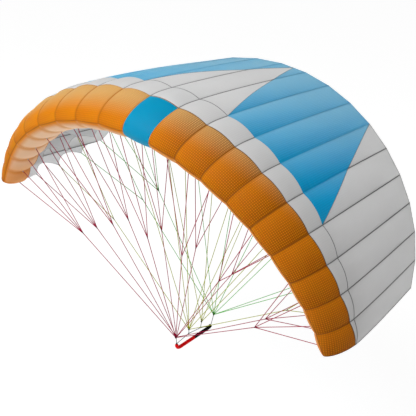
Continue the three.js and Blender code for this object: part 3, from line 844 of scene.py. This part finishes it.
def orange_tone(shade, look, tone, upper, w):
    """The nose's orange cloth, with painted shade toward each cell's lower side and the tips, and painted
    sheen toward the crown's front seam and the left.
    """
    across, _, up = shade.place()
    sheen_level = up + w * ORANGE_SHEEN["forward"] - across * ORANGE_SHEEN["left"]
    lower_shade_share, lower_shade_tone = LOWER_SIDE_SHADE
    tone = shade.mix((1 - upper) * lower_shade_share, tone, tinted(look.orange, lower_shade_tone))
    high, low, low_shade_share, low_shade_tone = LOW_SHADE
    tone = shade.mix(shade.step(up, high, low) * low_shade_share, tone, tinted(look.orange, low_shade_tone))
    return shade.mix(shade.step(sheen_level, ORANGE_SHEEN["start"], ORANGE_SHEEN["end"]), tone, look.sheen_orange)


def floor_tone(shade, look, tone, upper, w):
    """The nose floor: orange cloth drawn pale as painted sheen, which gives way to the orange at the chin and
    toward the tips, and painted shade that turns it orange beside the ribs.
    """
    tips = shade.step(shade.place()[2], *FLOOR_TIPS[:2]) * FLOOR_TIPS[2]
    tone = shade.mix(shade.step(w, *FLOOR_CHIN).math("MAXIMUM", tips), tone, look.orange)
    ribs = shade.step(upper.math("PINGPONG", 0.5), *FLOOR_RIB_SHADE[:2]) * FLOOR_RIB_SHADE[2]
    return shade.mix(ribs, tone, look.orange)


CLOTH_CHANGES = {"orange": orange_tone, "pale_orange": floor_tone, "blue": blue_tone}


def cloth_finish(key, look):
    """Coated ripstop cloth that lets light through: a grid of thicker threads, fine weave and a low sheen."""
    kind, base = CLOTHS[key], getattr(look, key)
    through = {"Subsurface Weight": 1.0, "Subsurface Radius": LIGHT_SHARES, "Subsurface Scale": look.through}
    coat = {"Sheen Weight": kind.sheen, "Sheen Roughness": SHEEN_ROUGH, "Specular IOR Level": kind.gloss}
    shade = Shade(key + "_ripstop", {**coat, **through})
    cell, w = shade.texture("cell")
    half = look.ripstop / 2
    ways = [at.math("PINGPONG", half) / half for at in shade.texture("cloth")]
    one, two = (1 - shade.step(way, *THREAD_EDGE) for way in ways)
    grid = one.math("MAXIMUM", two)
    patch = shade.noise(*WOVEN.noise)
    tone = shade.toned(patch, base, WOVEN.tones)
    across = shade.place()[0]
    right = across.math("GREATER_THAN", 0.0)
    upper = cell + right - cell * right * 2
    if key in CLOTH_CHANGES:
        tone = CLOTH_CHANGES[key](shade, look, tone, upper, w)
    # Painted shade: the cloth is drawn darker in the creases beside the ribs
    beside = 1 - shade.step(cell.math("PINGPONG", 0.5), 0.0, RIB_SHADE_REACH)
    rib_shade_share, rib_shade_tone = kind.beside
    tone = shade.mix(beside * rib_shade_share, tone, tinted(base, rib_shade_tone))
    # Painted light: the grid is drawn fainter on the lit left and toward each cell's upper side
    lit = shade.step(across, *GRID_SIDES)
    strong, weaker = GRID_CELL
    grid_share = grid * kind.contrast * (strong - upper * weaker) * (GRID_FAINT_WHERE_LIT + lit * (1 - GRID_FAINT_WHERE_LIT))
    shade.feed("Base Color", shade.mix(grid_share, tone, (kind.thread,) * 3, "MULTIPLY"))
    shade.feed("Roughness", WOVEN.rough[0] + patch * WOVEN.rough[1] - grid * GRID_ROUGH)
    weave = shade.noise(*WEAVE)
    shade.bump(grid * CLOTH_RELIEF[0] + weave * CLOTH_RELIEF[1], *WOVEN.relief)
    return shade.material


def seam_finish(name, base, lit_tone=None, light_share=blue_sheen_share):
    """Folded and sewn cloth of a seam, which may be drawn paler over the wing with painted light, as its
    cloth is.
    """
    shade = Shade(name, {"Specular IOR Level": SEWN.gloss})
    patch = shade.noise(*SEWN.noise)
    tone = shade.toned(patch, base, SEWN.tones)
    if lit_tone is not None:
        tone = shade.mix(light_share(shade, 0.5), tone, lit_tone)
    shade.feed("Base Color", tone)
    shade.feed("Roughness", SEWN.rough[0] + patch * SEWN.rough[1])
    shade.bump(patch, *SEWN.relief)
    return shade.material


def braid_finish(name, base, strands, pitch):
    """Braided sheath: strands that wind both ways round the line, darker in the shade of its knot."""
    shade = Shade(name, {"Specular IOR Level": BRAIDED.gloss})
    around_line, along = shade.texture("strand")
    turns = along / pitch
    one = ((around_line * strands + turns) * (2 * math.pi)).math("SINE")
    two = ((around_line * strands - turns) * (2 * math.pi)).math("SINE")
    braid = shade.step(one * two, *BRAID_EDGE)
    tone = shade.toned(braid, base, BRAIDED.tones)
    knot = shade.step(along, *KNOT_SHADE["near"]) * KNOT_SHADE["share"]
    shade.feed("Base Color", shade.mix(knot, tone, tinted(base, KNOT_SHADE["tone"])))
    shade.feed("Roughness", BRAIDED.rough[0] + braid * BRAIDED.rough[1])
    shade.bump(braid, *BRAIDED.relief)
    return shade.material


def grip_finish(name, base):
    """Soft moulded grip with a fine grain, polished a little by hands."""
    shade = Shade(name, {"Specular IOR Level": MOULDED.gloss})
    grain = shade.noise(*GRAIN)
    wear = shade.noise(*MOULDED.noise)
    shade.feed("Base Color", shade.toned(wear, base, MOULDED.tones))
    shade.feed("Roughness", MOULDED.rough[0] + wear * MOULDED.rough[1] + grain * GRAIN_ROUGH)
    shade.bump(grain, *MOULDED.relief)
    return shade.material


class Growth(Graph):
    """A geometry tree with named number inputs, which ends in realized instances of one material."""

    def __init__(self, name, **sizes):
        super().__init__(bpy.data.node_groups.new(name, "GeometryNodeTree"))
        self.sizes = sizes
        sockets = self.tree.interface
        sockets.new_socket("Geometry", in_out="INPUT", socket_type="NodeSocketGeometry")
        for key in sizes:
            sockets.new_socket(key, in_out="INPUT", socket_type="NodeSocketFloat")
        sockets.new_socket("Geometry", in_out="OUTPUT", socket_type="NodeSocketGeometry")
        self.source = self.tree.nodes.new("NodeGroupInput")

    def given(self, name):
        """An input of the tree."""
        return Value(self, self.source.outputs[name])

    def finish(self, points, instance, along, material):
        """Sets an instance on each point, turned along a vector, realizes them and gives them a material."""
        turn = self.node("FunctionNodeAlignRotationToVector", {"axis": "Z"}, {"Vector": along})
        spots = {"Points": points, "Instance": instance, "Rotation": turn}
        many = self.node("GeometryNodeInstanceOnPoints", {}, spots)
        real = self.node("GeometryNodeRealizeInstances", {}, {"Geometry": many})
        done = self.node("GeometryNodeSetMaterial", {}, {"Geometry": real, "Material": material})
        self.node("NodeGroupOutput", {}, {"Geometry": done})

    def grow(self, name, seed_mesh, slot):
        """Runs the tree on a mesh of points or edges and keeps the result as a plain piece."""
        seed = bpy.data.objects.new(name + "_seed", seed_mesh)
        bpy.context.scene.collection.objects.link(seed)
        modifier = seed.modifiers.new(name, "NODES")
        modifier.node_group = self.tree
        for item in self.tree.interface.items_tree:
            if item.in_out == "INPUT" and item.name in self.sizes:
                modifier[item.identifier] = float(self.sizes[item.name])
        grown = seed.evaluated_get(bpy.context.evaluated_depsgraph_get())
        mesh = bpy.data.meshes.new_from_object(grown)
        mesh.name = name
        bpy.data.objects.remove(seed)
        if not mesh.polygons:
            raise RuntimeError(f"{name}: nothing grew")
        return place(name, mesh, None, slot)


# Cloth panels

# A panel of cloth: the node it stands for, its reach across the span, its edges, rows and finish
Cut = namedtuple("Cut", "node start stop low high rows finish")


def flat(value):
    """An edge that stays at one profile station."""
    return lambda s: np.full_like(s, value)


def panel_cuts(wing):
    """All panels of the wing."""
    first, tip = wing.half[0], wing.tip
    floor, nose, band, rear = ROWS.values()
    cuts = []
    for side, start, stop in (("left", -tip, -first), ("centre", -first, first), ("right", first, tip)):
        skin, under = ("bright_blue", "bright_blue") if side == "centre" else ("orange", "pale_orange")
        cuts.append(Cut(f"nose_skin_{side}", start, stop, flat(CHIN), flat(FRONT), nose, skin))
        cuts.append(Cut(f"nose_floor_{side}", start, stop, flat(FLOOR_REAR), flat(CHIN), floor, under))
    cuts.append(Cut("crest_band", -tip, tip, flat(FRONT), flat(BACK), band, "grey"))
    reach = wing.half[INNER_RIB] - POINT
    cuts.append(Cut("rear_panel_centre", -reach, reach, flat(BACK), wing.inner_seam, rear, "grey"))
    for side, sign in SIDES:
        inner = sorted((sign * POINT, sign * (wing.half[OUTER_RIB] - POINT)))
        outer = sorted((sign * (wing.half[OUTER_TAIL_RIB] + POINT), sign * tip))
        cuts.append(Cut(f"rear_panel_{side}", *inner, wing.inner_seam, wing.outer_seam, rear, "blue"))
        cuts.append(Cut(f"tip_panel_{side}", *outer, wing.outer_seam, flat(TAIL), rear, "grey"))
    return cuts


def sew_panel(wing, cut, skin, material):
    s = wing.columns(cut.start, cut.stop)
    w = lerp(cut.low(s)[:, None], cut.high(s)[:, None], np.linspace(0, 1, cut.rows + 1))
    across = np.broadcast_to(s[:, None], w.shape)
    points = wing.surface(across, w)
    lift = wing.normal(across, w) * (skin / 2)
    cloth = np.stack([across, wing.travel(across, w)], -1)
    cell = np.stack([wing.cell(across)[1], w], -1)
    stack = Stack()
    stack.sheet(points + lift, points - lift, cloth=cloth, cell=cell)
    piece = stack.put("cloth_" + cut.node, material, cut.finish + "_cloth", cut.node)


class PARAWING_OT_panels(bpy.types.Operator):
    """Sews the panels of the wing."""

    bl_idname = "parawing.panels"
    bl_label = "Sew panels"

    def execute(self, context):
        look = context.scene.parawing_cloth
        wing = Wing(context.scene.parawing_plan, look.gather)
        cuts = panel_cuts(wing)
        finishes = {key: cloth_finish(key, look) for key in dict.fromkeys(cut.finish for cut in cuts)}
        for cut in cuts:
            sew_panel(wing, cut, look.skin, finishes[cut.finish])
        return {"FINISHED"}


# Ribs

def inward(points):
    """Directions square to a flat path, toward the inside of the section."""
    slope = unit(np.gradient(points, axis=0))
    return np.stack([slope[:, 1], -slope[:, 0]], 1)


def rib_outline(wing, i, skin):
    """Upper outline of a rib against the cloth, and its lower edge from the tail forward, in its plane."""
    chord, nose = wing.chord[i], nose_at(wing.share[i])
    ahead = ((FLOOR_REAR, CHIN, "floor"), (CHIN, FRONT, "nose"), (FRONT, BACK, "band"))
    runs = [np.linspace(low, high, ROWS[key], endpoint=False) for low, high, key in ahead]
    w = np.concatenate([*runs, np.linspace(BACK, TAIL, ROWS["rear"])])
    u, h = profile(wing.share[i], w)
    points = np.stack([u, h], 1) * chord
    upper = points + inward(points) * (skin / 2)
    upper = upper[(w <= BACK) | (u <= RIB_END[0])]
    behind = upper[-1] - (0, RIB_END[1])
    lower = [behind]
    for along, up, hollow in reversed(TABS.values()):
        rear = np.array((along * chord + TAB_HALF, up * chord))
        share = np.linspace(0, 1, HOLLOW_STEPS + 1)[1:-1]
        edge = lerp(behind, rear, share[:, None])
        edge[:, 1] += hollow * chord * np.sin(np.pi * share) ** HOLLOW_ROUND
        ceiling = upper_height(edge[:, 0] / chord, nose) * chord - RIB_END[1]
        edge[:, 1] = np.minimum(edge[:, 1], ceiling)
        behind = rear - (2 * TAB_HALF, 0)
        lower.extend([*edge, rear, behind])
    return upper, np.array(lower)


def enclosed(outline):
    """Area inside an outline, positive where it turns to the left."""
    x, y = outline.T
    return float(np.dot(x, np.roll(y, -1)) - np.dot(y, np.roll(x, -1))) / 2


def cut_rib(wing, i, outline, skin):
    """A rib's sheet, as a closed shape between two faces."""
    count = len(outline)
    faces = []
    for a, b, c in tessellate_polygon([[Vector((*point, 0.0)) for point in outline]]):
        if enclosed(outline[[a, b, c]]) < 0:
            b, c = c, b
        faces.append((a, b, c))
        faces.append((a + count, c + count, b + count))
    leftward = enclosed(outline) > 0
    for k in range(count):
        step = (k + 1) % count
        edge = (k, k + count, step + count, step)
        faces.append(edge if leftward else edge[::-1])
    stack = Stack()
    points = np.concatenate([wing.in_rib(i, outline, away) for away in (skin / 2, -skin / 2)])
    stack.add(points, faces, cloth=np.concatenate([outline] * 2), cell=np.full((2 * count, 2), 0.5))
    return stack


def lay_tape(stack, wing, i, skin):
    """Seam tape on both faces of a rib, along the rear skin."""
    w = np.linspace(FRONT, TAIL_TAPE_AT, TAPE_STEPS)
    points = np.stack(profile(wing.share[i], w), 1) * wing.chord[i]
    rails = [points + inward(points) * depth for depth in (skin / 2, TAPE_WIDTH)]
    for side in (-1, 1):
        near, far = (
            np.stack([wing.in_rib(i, rail, side * away) for rail in rails[::-side]], 1)
            for away in (skin / 4, skin / 2 + TAPE_SIZE)
        )
        stack.sheet(far, near)


class PARAWING_OT_ribs(bpy.types.Operator):
    """Cuts the ribs and binds their lower edges."""

    bl_idname = "parawing.ribs"
    bl_label = "Cut ribs"

    def execute(self, context):
        look = context.scene.parawing_cloth
        wing = Wing(context.scene.parawing_plan)
        finish = cloth_finish("rib", look)
        binding, tape = Stack(), Stack()
        names = [f"left_{k}" for k in reversed(range(RIBS_PER_SIDE))]
        names += [f"right_{k}" for k in range(RIBS_PER_SIDE)]
        for i, name in enumerate(names):
            node = "rib_" + name
            upper, lower = rib_outline(wing, i, look.skin)
            outline = np.concatenate([upper, lower])
            piece = cut_rib(wing, i, outline, look.skin).put("cloth_" + node, finish, "rib_cloth", node)
            binding.tube(wing.in_rib(i, lower), BINDING_SIZE, BINDING_SIDES)
            lay_tape(tape, wing, i, look.skin)
        binding.put("rib_binding", seam_finish("binding_tape", tinted(look.rib, BINDING_TONE)), "rib_cloth")
        # Dark tape: partly a dark join, partly painted shade in the crease where rib meets skin
        tape.put("rib_tape", seam_finish("seam_tape", tinted(look.rib, TAPE_AND_CREASE_SHADE_TONE)), "rib_cloth")
        return {"FINISHED"}


# Seams and stitches

# A sewn seam: its tone, its width and a function that gives its points and normals at an offset to the side
Seam = namedtuple("Seam", "tone width rail")


def rib_seam(wing, tone, width, i, low, high, count):
    """A seam along a rib."""
    w = np.linspace(low, high, count)

    def rail(offset):
        s = np.clip(wing.stations[i] + offset, -wing.tip, wing.tip)
        return wing.surface(s, w), wing.normal(s, w)

    return Seam(tone, width, rail)


def cross_seam(wing, tone, width, start, stop, at):
    """A seam along the span, at a profile station."""
    s = wing.columns(start, stop)
    w = at(s)
    per = wing.stations_per_metre(s, np.clip(w, FLOOR_REAR + W_STEP, TAIL - W_STEP))

    def rail(offset):
        beside = np.clip(w + offset * per, FLOOR_REAR, TAIL)
        return wing.surface(s, beside), wing.normal(s, beside)

    return Seam(tone, width, rail)


def all_seams(wing, width):
    """Every seam that shows on the outside of the wing."""
    seams = []
    first, tip = wing.half[0], wing.tip
    inside, outside, outside_tail = (wing.half[k] for k in (INNER_RIB, OUTER_RIB, OUTER_TAIL_RIB))
    narrow = NARROW_SEAM * width
    for i, s in enumerate(wing.stations):
        inner, outer = float(wing.inner_seam(s)), float(wing.outer_seam(s))
        if abs(s) > first:
            seams.append(rib_seam(wing, "orange", width, i, CHIN, FRONT, SEAM_POINTS["nose"]))
        seams.append(rib_seam(wing, "grey", width, i, FRONT, BACK, SEAM_POINTS["band"]))
        for tone, low, high in (("grey", BACK, inner), ("blue", inner, outer), ("grey", outer, TAIL)):
            if high - low > W_STEP and not (tone == "blue" and abs(s) >= outside - POINT):
                wide = narrow if tone == "blue" else width
                seams.append(rib_seam(wing, tone, wide, i, low, high, SEAM_POINTS["rear"]))
    middle = (
        ("edge", width, tip, flat(FRONT)),
        ("grey", width, inside, flat(BACK)),
        ("grey", narrow, inside, wing.inner_seam),
        ("blue", width, outside_tail, flat(TAIL)),
    )
    seams.extend(cross_seam(wing, tone, wide, -reach, reach, at) for tone, wide, reach, at in middle)
    sides = (
        ("grey", outside, tip, flat(BACK)),
        ("grey", outside_tail, outside, wing.outer_seam),
        ("grey", outside_tail, tip, flat(TAIL)),
        ("orange", first, tip, flat(CHIN)),
        ("orange", first, tip, flat(FLOOR_REAR)),
    )
    for tone, near, far, at in sides:
        seams.append(cross_seam(wing, tone, width, near, far, at))
        seams.append(cross_seam(wing, tone, width, -far, -near, at))
    return seams


def stitch_tree(name, look, material):
    """Stitches along edges: one short thread for each pitch."""
    grow = Growth(name, Pitch=look.stitch_pitch, Length=look.stitch_length, Thread=look.stitch_size)
    curve = grow.node("GeometryNodeMeshToCurve", {}, {"Mesh": grow.given("Geometry")})
    spacing = {"Curve": curve, "Length": grow.given("Pitch")}
    points = grow.node("GeometryNodeCurveToPoints", {"mode": "LENGTH"}, spacing)
    sizes = {"Vertices": STITCH_SIDES, "Radius": grow.given("Thread"), "Depth": grow.given("Length")}
    thread = grow.node("GeometryNodeMeshCylinder", {"fill_type": "NGON"}, sizes)
    grow.finish(points, thread, points.pick("Tangent"), material)
    return grow


def edge_mesh(name, paths):
    """A mesh of bare edges along paths."""
    mesh = bpy.data.meshes.new(name)
    edges, count = [], 0
    for path in paths:
        edges.extend((count + k, count + k + 1) for k in range(len(path) - 1))
        count += len(path)
    mesh.from_pydata(np.concatenate(paths).tolist(), edges, [])
    return mesh


def fold_seam(stack, seam, skin):
    """A folded seam as a closed strip on the cloth."""
    rails = [seam.rail(share * seam.width) for share, _ in SEAM_RAILS]
    lifts = [skin / 2 + height * SEAM_HEIGHT for _, height in SEAM_RAILS]
    top = np.stack([p + n * lift for (p, n), lift in zip(rails, lifts)], 1)
    under = np.stack([p + n * (skin / 4) for p, n in rails], 1)
    if np.dot(np.cross(top[1, 0] - top[0, 0], top[0, 1] - top[0, 0]), rails[0][1][0]) < 0:
        top, under = top[:, ::-1], under[:, ::-1]
    stack.sheet(top, under)


class PARAWING_OT_seams(bpy.types.Operator):
    """Folds the seams and sews them with two rows of stitches."""

    bl_idname = "parawing.seams"
    bl_label = "Sew seams"

    def execute(self, context):
        look = context.scene.parawing_cloth
        wing = Wing(context.scene.parawing_plan)
        seams = all_seams(wing, look.seam_width)

        def coloured(key, factor):
            return tinted(getattr(look, key), factor)

        for tone, (slot, base, pale) in SEAM_TONES.items():
            base = coloured(*base)
            # Blue seams take the blue cloth's painted sheen; nose seams take painted light toward the left
            painted_light_tones = (coloured(*pale), blue_sheen_share if tone == "blue" else left_light_share) if pale else ()
            folds, rows = Stack(), []
            for seam in (each for each in seams if each.tone == tone):
                fold_seam(folds, seam, look.skin)
                for share in STITCH_RAILS:
                    p, n = seam.rail(share * seam.width)
                    rows.append(p + n * (look.skin / 2 + STITCH_LIFT))
            folds.put(f"seams_{tone}", seam_finish(tone + "_seam", base, *painted_light_tones), slot)
            thread = seam_finish(tone + "_thread", tinted(base, THREAD_TONE), *painted_light_tones)
            stitches = stitch_tree(tone + "_stitches", look, thread)
            stitches.grow(f"stitches_{tone}", edge_mesh("rows", rows), slot)
        return {"FINISHED"}


# Lines

def front_foot(row):
    """Where the front lines of a row are tied."""
    return np.array(FRONT_KNOT) + ALONG * (FRONT_KNOT_SPREAD / 2 * FRONT_ROWS[row])


class Rigging:
    """Gathers the line ends and knots that the lines leave behind."""

    def __init__(self, wing):
        self.wing, self.ends, self.knots = wing, [], {}

    def to_tab(self, stack, start, sign, row, number, size):
        """A line from a point to a rib's tab, ending in the tab's loop."""
        tab = self.wing.tab(self.wing.index(sign, number), row)
        hang = unit(np.asarray(start) - tab)
        self.ends.append((tab, hang))
        stack.line(start, tab + hang * LOOP_DROP, size)

    def tie(self, tone, centre, direction, size):
        """Notes a knot for later."""
        self.knots.setdefault(tone, []).append((centre, direction, size))

    def branch(self, stack, junction, sign, foot, size, tone):
        """A main line, its junction and its upper lines."""
        middle = np.array(junction.place) * (sign, 1, 1)
        stack.line(foot, middle, size)
        self.tie(tone, middle, unit(middle - foot), JUNCTION_SIZE)
        for number in junction.ribs:
            self.to_tab(stack, middle, sign, junction.row, number, size)


class PARAWING_OT_lines(bpy.types.Operator):
    """Strings the lines, ties their knots and sews a loop to each tab."""

    bl_idname = "parawing.lines"
    bl_label = "String lines"

    def execute(self, context):
        look = context.scene.parawing_lines
        rig = Rigging(Wing(context.scene.parawing_plan))
        bases = {tone: getattr(look, tone) for tone in ("red", "olive", "green")}
        plain, tied = {}, {}
        for tone, base in bases.items():
            plain[tone] = braid_finish(tone + "_line_sheath", base, *LINE_BRAID)
            tied[tone] = braid_finish(tone + "_knot", tinted(base, KNOT_TONE), *LINE_BRAID)
        for side, sign in SIDES:
            for junction in FRONT_JUNCTIONS:
                stack = Stack()
                rig.branch(stack, junction, sign, front_foot(junction.row), look.red_size, "red")
                node = f"{junction.row}_lines_{side}_{junction.group}"
                stack.put("red_" + node, plain["red"], "red_line", node)
        for fan in FANS:
            tone = fan.name.split("_")[0]
            stack = Stack()
            foot = np.array(fan.knot)
            for _, sign in SIDES:
                for junction in fan.branched:
                    rig.branch(stack, junction, sign, foot, look.fine_size, tone)
                for number in fan.ribs:
                    rig.to_tab(stack, foot, sign, fan.row, number, look.fine_size)
            rig.tie(tone, foot, UP, FAN_KNOT_SIZE)
            stack.put(fan.name, plain[tone], tone + "_line", fan.node)
        front = Stack()
        for row in FRONT_ROWS:
            front.knot(front_foot(row), UP, FRONT_KNOT_SIZE)
        front.put("red_front_knot", tied["red"], "red_line", "front_knot")
        for tone, knots in rig.knots.items():
            stack = Stack()
            for knot in knots:
                stack.knot(*knot)
            stack.put(f"junctions_{tone}", tied[tone], tone + "_line")
        sew_loops(context.scene.parawing_cloth, rig.ends)
        return {"FINISHED"}


def sew_loops(look, ends):
    """A sewn tape loop at each tab, hanging along its line."""
    mesh = bpy.data.meshes.new("loop_places")
    mesh.from_pydata([tuple(tab + hang * look.loop_size * LOOP_HANG) for tab, hang in ends], [], [])
    hang = mesh.attributes.new("hang", "FLOAT_VECTOR", "POINT")
    hang.data.foreach_set("vector", np.array([h for _, h in ends], np.float32).ravel())
    grow = Growth("line_loops", Radius=look.loop_size)
    size = {"Resolution": LOOP_POINTS, "Radius": grow.given("Radius")}
    ring = grow.node("GeometryNodeCurvePrimitiveCircle", {"mode": "RADIUS"}, size)
    turn = {"Geometry": ring, "Rotation": (0.0, math.pi / 2, 0.0), "Scale": (1.0, LOOP_SQUEEZE, 1.0)}
    upright = grow.node("GeometryNodeTransform", {}, turn)
    edges = dict(zip(("Width", "Height"), LOOP_BAND))
    band = grow.node("GeometryNodeCurvePrimitiveQuadrilateral", {"mode": "RECTANGLE"}, edges)
    loop = grow.node("GeometryNodeCurveToMesh", {}, {"Curve": upright, "Profile Curve": band})
    along = grow.node("GeometryNodeInputNamedAttribute", {"data_type": "FLOAT_VECTOR"}, {"Name": "hang"})
    grow.finish(grow.given("Geometry"), loop, along, seam_finish("loop_tape", tinted(look.rib, LOOP_TONE)))
    grow.grow("line_loops", mesh, "rib_cloth")


# Leaders and bar

class PARAWING_OT_leaders(bpy.types.Operator):
    """Ties the leaders and the trim line between the knots and the bar."""

    bl_idname = "parawing.leaders"
    bl_label = "Tie leaders"

    def execute(self, context):
        look = context.scene.parawing_lines
        size = look.leader_size
        finish = braid_finish("leader_braid", look.cord, *LEADER_BRAID)
        front_end, rear_end = (np.array((0.0, *BAR_PATH[k])) for k in (0, -1))
        start = front_end + unit(np.array(FRONT_KNOT) - front_end) * TRIM_START
        leads = ((front_end, FRONT_KNOT), (start, TRIM_C), (TRIM_C, TRIM_D), (TRIM_D, TRIM_SEAT))
        front, rear = Stack(), Stack()
        for near, far in (*leads, (TRIM_C, C_KNOT), (TRIM_D, D_KNOT)):
            front.line(near, far, size)
        for centre in (start, TRIM_C, TRIM_D):
            front.knot(np.array(centre), ALONG, TRIM_KNOT * size)
        front.put("front_leader_cord", finish, "leader_cord", "front_leader")
        rear.line(rear_end, TAIL_KNOT, size)
        rear.put("rear_leader_cord", finish, "leader_cord", "rear_leader")
        return {"FINISHED"}


def smooth_path(points, step):
    """A smooth path through points, with even steps, and the distance along it."""
    points = np.asarray(points, float)
    padded = np.concatenate([[2 * points[0] - points[1]], points, [2 * points[-1] - points[-2]]])
    t = np.linspace(0, 1, BAR_RUN_STEPS, endpoint=False)[:, None]
    runs = []
    for k in range(1, len(padded) - 2):
        a, b, c, d = padded[k - 1 : k + 3]
        square, cube = 2 * a - 5 * b + 4 * c - d, 3 * b - a - 3 * c + d
        runs.append(0.5 * (2 * b + (c - a) * t + square * t**2 + cube * t**3))
    fine = np.concatenate([*runs, points[-1:]])
    gone = travelled(fine)
    at = np.linspace(0, gone[-1], max(2, round(gone[-1] / step)))
    return np.stack([np.interp(at, gone, fine[:, axis]) for axis in range(fine.shape[1])], 1), at


class PARAWING_OT_bar(bpy.types.Operator):
    """Fits the two grips of the hand bar."""

    bl_idname = "parawing.bar"
    bl_label = "Fit bar"

    def execute(self, context):
        look = context.scene.parawing_bar
        flat_path, gone = smooth_path(BAR_PATH, BAR_STEP)
        path = np.concatenate([np.zeros((len(flat_path), 1)), flat_path], 1)
        shoulder = np.clip(np.minimum(gone, gone[-1] - gone) / BAR_END_ROUND, 0, 1)
        radii = look.size / 2 * (1 - BAR_END_LOSS * (1 - shoulder) ** 2)
        joint = int(np.argmin(np.abs(flat_path[:, 0] - BAR_JOINT)))
        halves = (("front", "red", slice(0, joint + 1)), ("rear", "black", slice(joint, None)))
        for end, tone, part in halves:
            stack = Stack()
            stack.tube(path[part], radii[part], BAR_SIDES)
            finish = grip_finish(tone + "_grip_foam", getattr(look, tone))
            stack.put("grip_" + end, finish, tone + "_grip", "bar_" + end)
        return {"FINISHED"}


# Stage

class PARAWING_OT_stage(bpy.types.Operator):
    """Lays the floor, hangs the lights and sets the camera."""

    bl_idname = "parawing.stage"
    bl_label = "Set stage"

    def execute(self, context):
        scene = context.scene
        look = scene.parawing_stage
        mesh = bpy.data.meshes.new("floor")
        quarters = ((-1, -1), (1, -1), (1, 1), (-1, 1))
        corners = [(x * FLOOR_HALF, y * FLOOR_HALF, look.floor) for x, y in quarters]
        mesh.from_pydata(corners, [], [(0, 1, 2, 3)])
        glow = {"Emission Color": as_colour(look.pale), "Emission Strength": look.glow}
        paint = {"Base Color": as_colour(look.reflecting), "Roughness": FLOOR_ROUGH}
        mesh.materials.append(Shade("pale_floor", {**paint, **glow}).material)
        floor = bpy.data.objects.new("floor", mesh)
        scene.collection.objects.link(floor)
        world = bpy.data.worlds.new("studio")
        world.use_nodes = True
        sky = Graph(world.node_tree)
        seen = sky.node("ShaderNodeLightPath", out="Is Camera Ray")
        backdrop = sky.tree.nodes["Background"].inputs
        backdrop["Color"].default_value = (1.0, 1.0, 1.0, 1.0)
        sky.tree.links.new((look.sky + seen * (1 - look.sky)).socket, backdrop["Strength"])
        scene.world = world
        for name, power, at in (("key", look.key, KEY_AT), ("side", look.side, SIDE_AT)):
            light = bpy.data.lights.new(name, "AREA")
            light.shape = "DISK"
            light.size = LAMP_SIZE
            light.energy = power
            lamp = bpy.data.objects.new(name, light)
            lamp.location = at
            lamp.rotation_euler = (Vector(LAMP_AIM) - Vector(at)).to_track_quat("-Z", "Y").to_euler()
            scene.collection.objects.link(lamp)
        camera = bpy.data.cameras.new("camera")
        camera.sensor_width = SENSOR
        camera.lens = look.lens
        camera.clip_end = 4 * FLOOR_HALF
        eye = bpy.data.objects.new("camera", camera)
        axes = Matrix((CAMERA_RIGHT, CAMERA_UP, CAMERA_BACK)).transposed()
        eye.matrix_world = Matrix.Translation(CAMERA_AT) @ axes.to_4x4()
        scene.collection.objects.link(eye)
        scene.camera = eye
        scene.view_settings.view_transform = "Standard"
        return {"FINISHED"}


class PARAWING_PT_panel(bpy.types.Panel):
    """Lists the steps that dress the parawing."""

    bl_idname = "PARAWING_PT_panel"
    bl_label = "Parawing"
    bl_space_type = "VIEW_3D"
    bl_region_type = "UI"
    bl_category = "Parawing"

    def draw(self, context):
        for step in OPERATORS:
            self.layout.operator(step.bl_idname)


GROUPS = {
    "parawing_plan": PARAWING_PG_plan,
    "parawing_cloth": PARAWING_PG_cloth,
    "parawing_lines": PARAWING_PG_lines,
    "parawing_bar": PARAWING_PG_bar,
    "parawing_stage": PARAWING_PG_stage,
}
OPERATORS = (
    PARAWING_OT_stage,
    PARAWING_OT_panels,
    PARAWING_OT_ribs,
    PARAWING_OT_seams,
    PARAWING_OT_lines,
    PARAWING_OT_leaders,
    PARAWING_OT_bar,
)


def register():
    """Registers the settings, the steps and the panel."""
    for name, group in GROUPS.items():
        bpy.utils.register_class(group)
        setattr(bpy.types.Scene, name, bpy.props.PointerProperty(type=group))
    for step in (*OPERATORS, PARAWING_PT_panel):
        bpy.utils.register_class(step)


def unregister():
    """Takes the panel, the steps and the settings out again."""
    for step in reversed((*OPERATORS, PARAWING_PT_panel)):
        bpy.utils.unregister_class(step)
    for name, group in reversed(GROUPS.items()):
        delattr(bpy.types.Scene, name)
        bpy.utils.unregister_class(group)


def main():
    """Dresses the part step by step."""
    register()
    for step in OPERATORS:
        area, name = step.bl_idname.split(".")
        getattr(getattr(bpy.ops, area), name)()


if __name__ == "__main__":
    main()
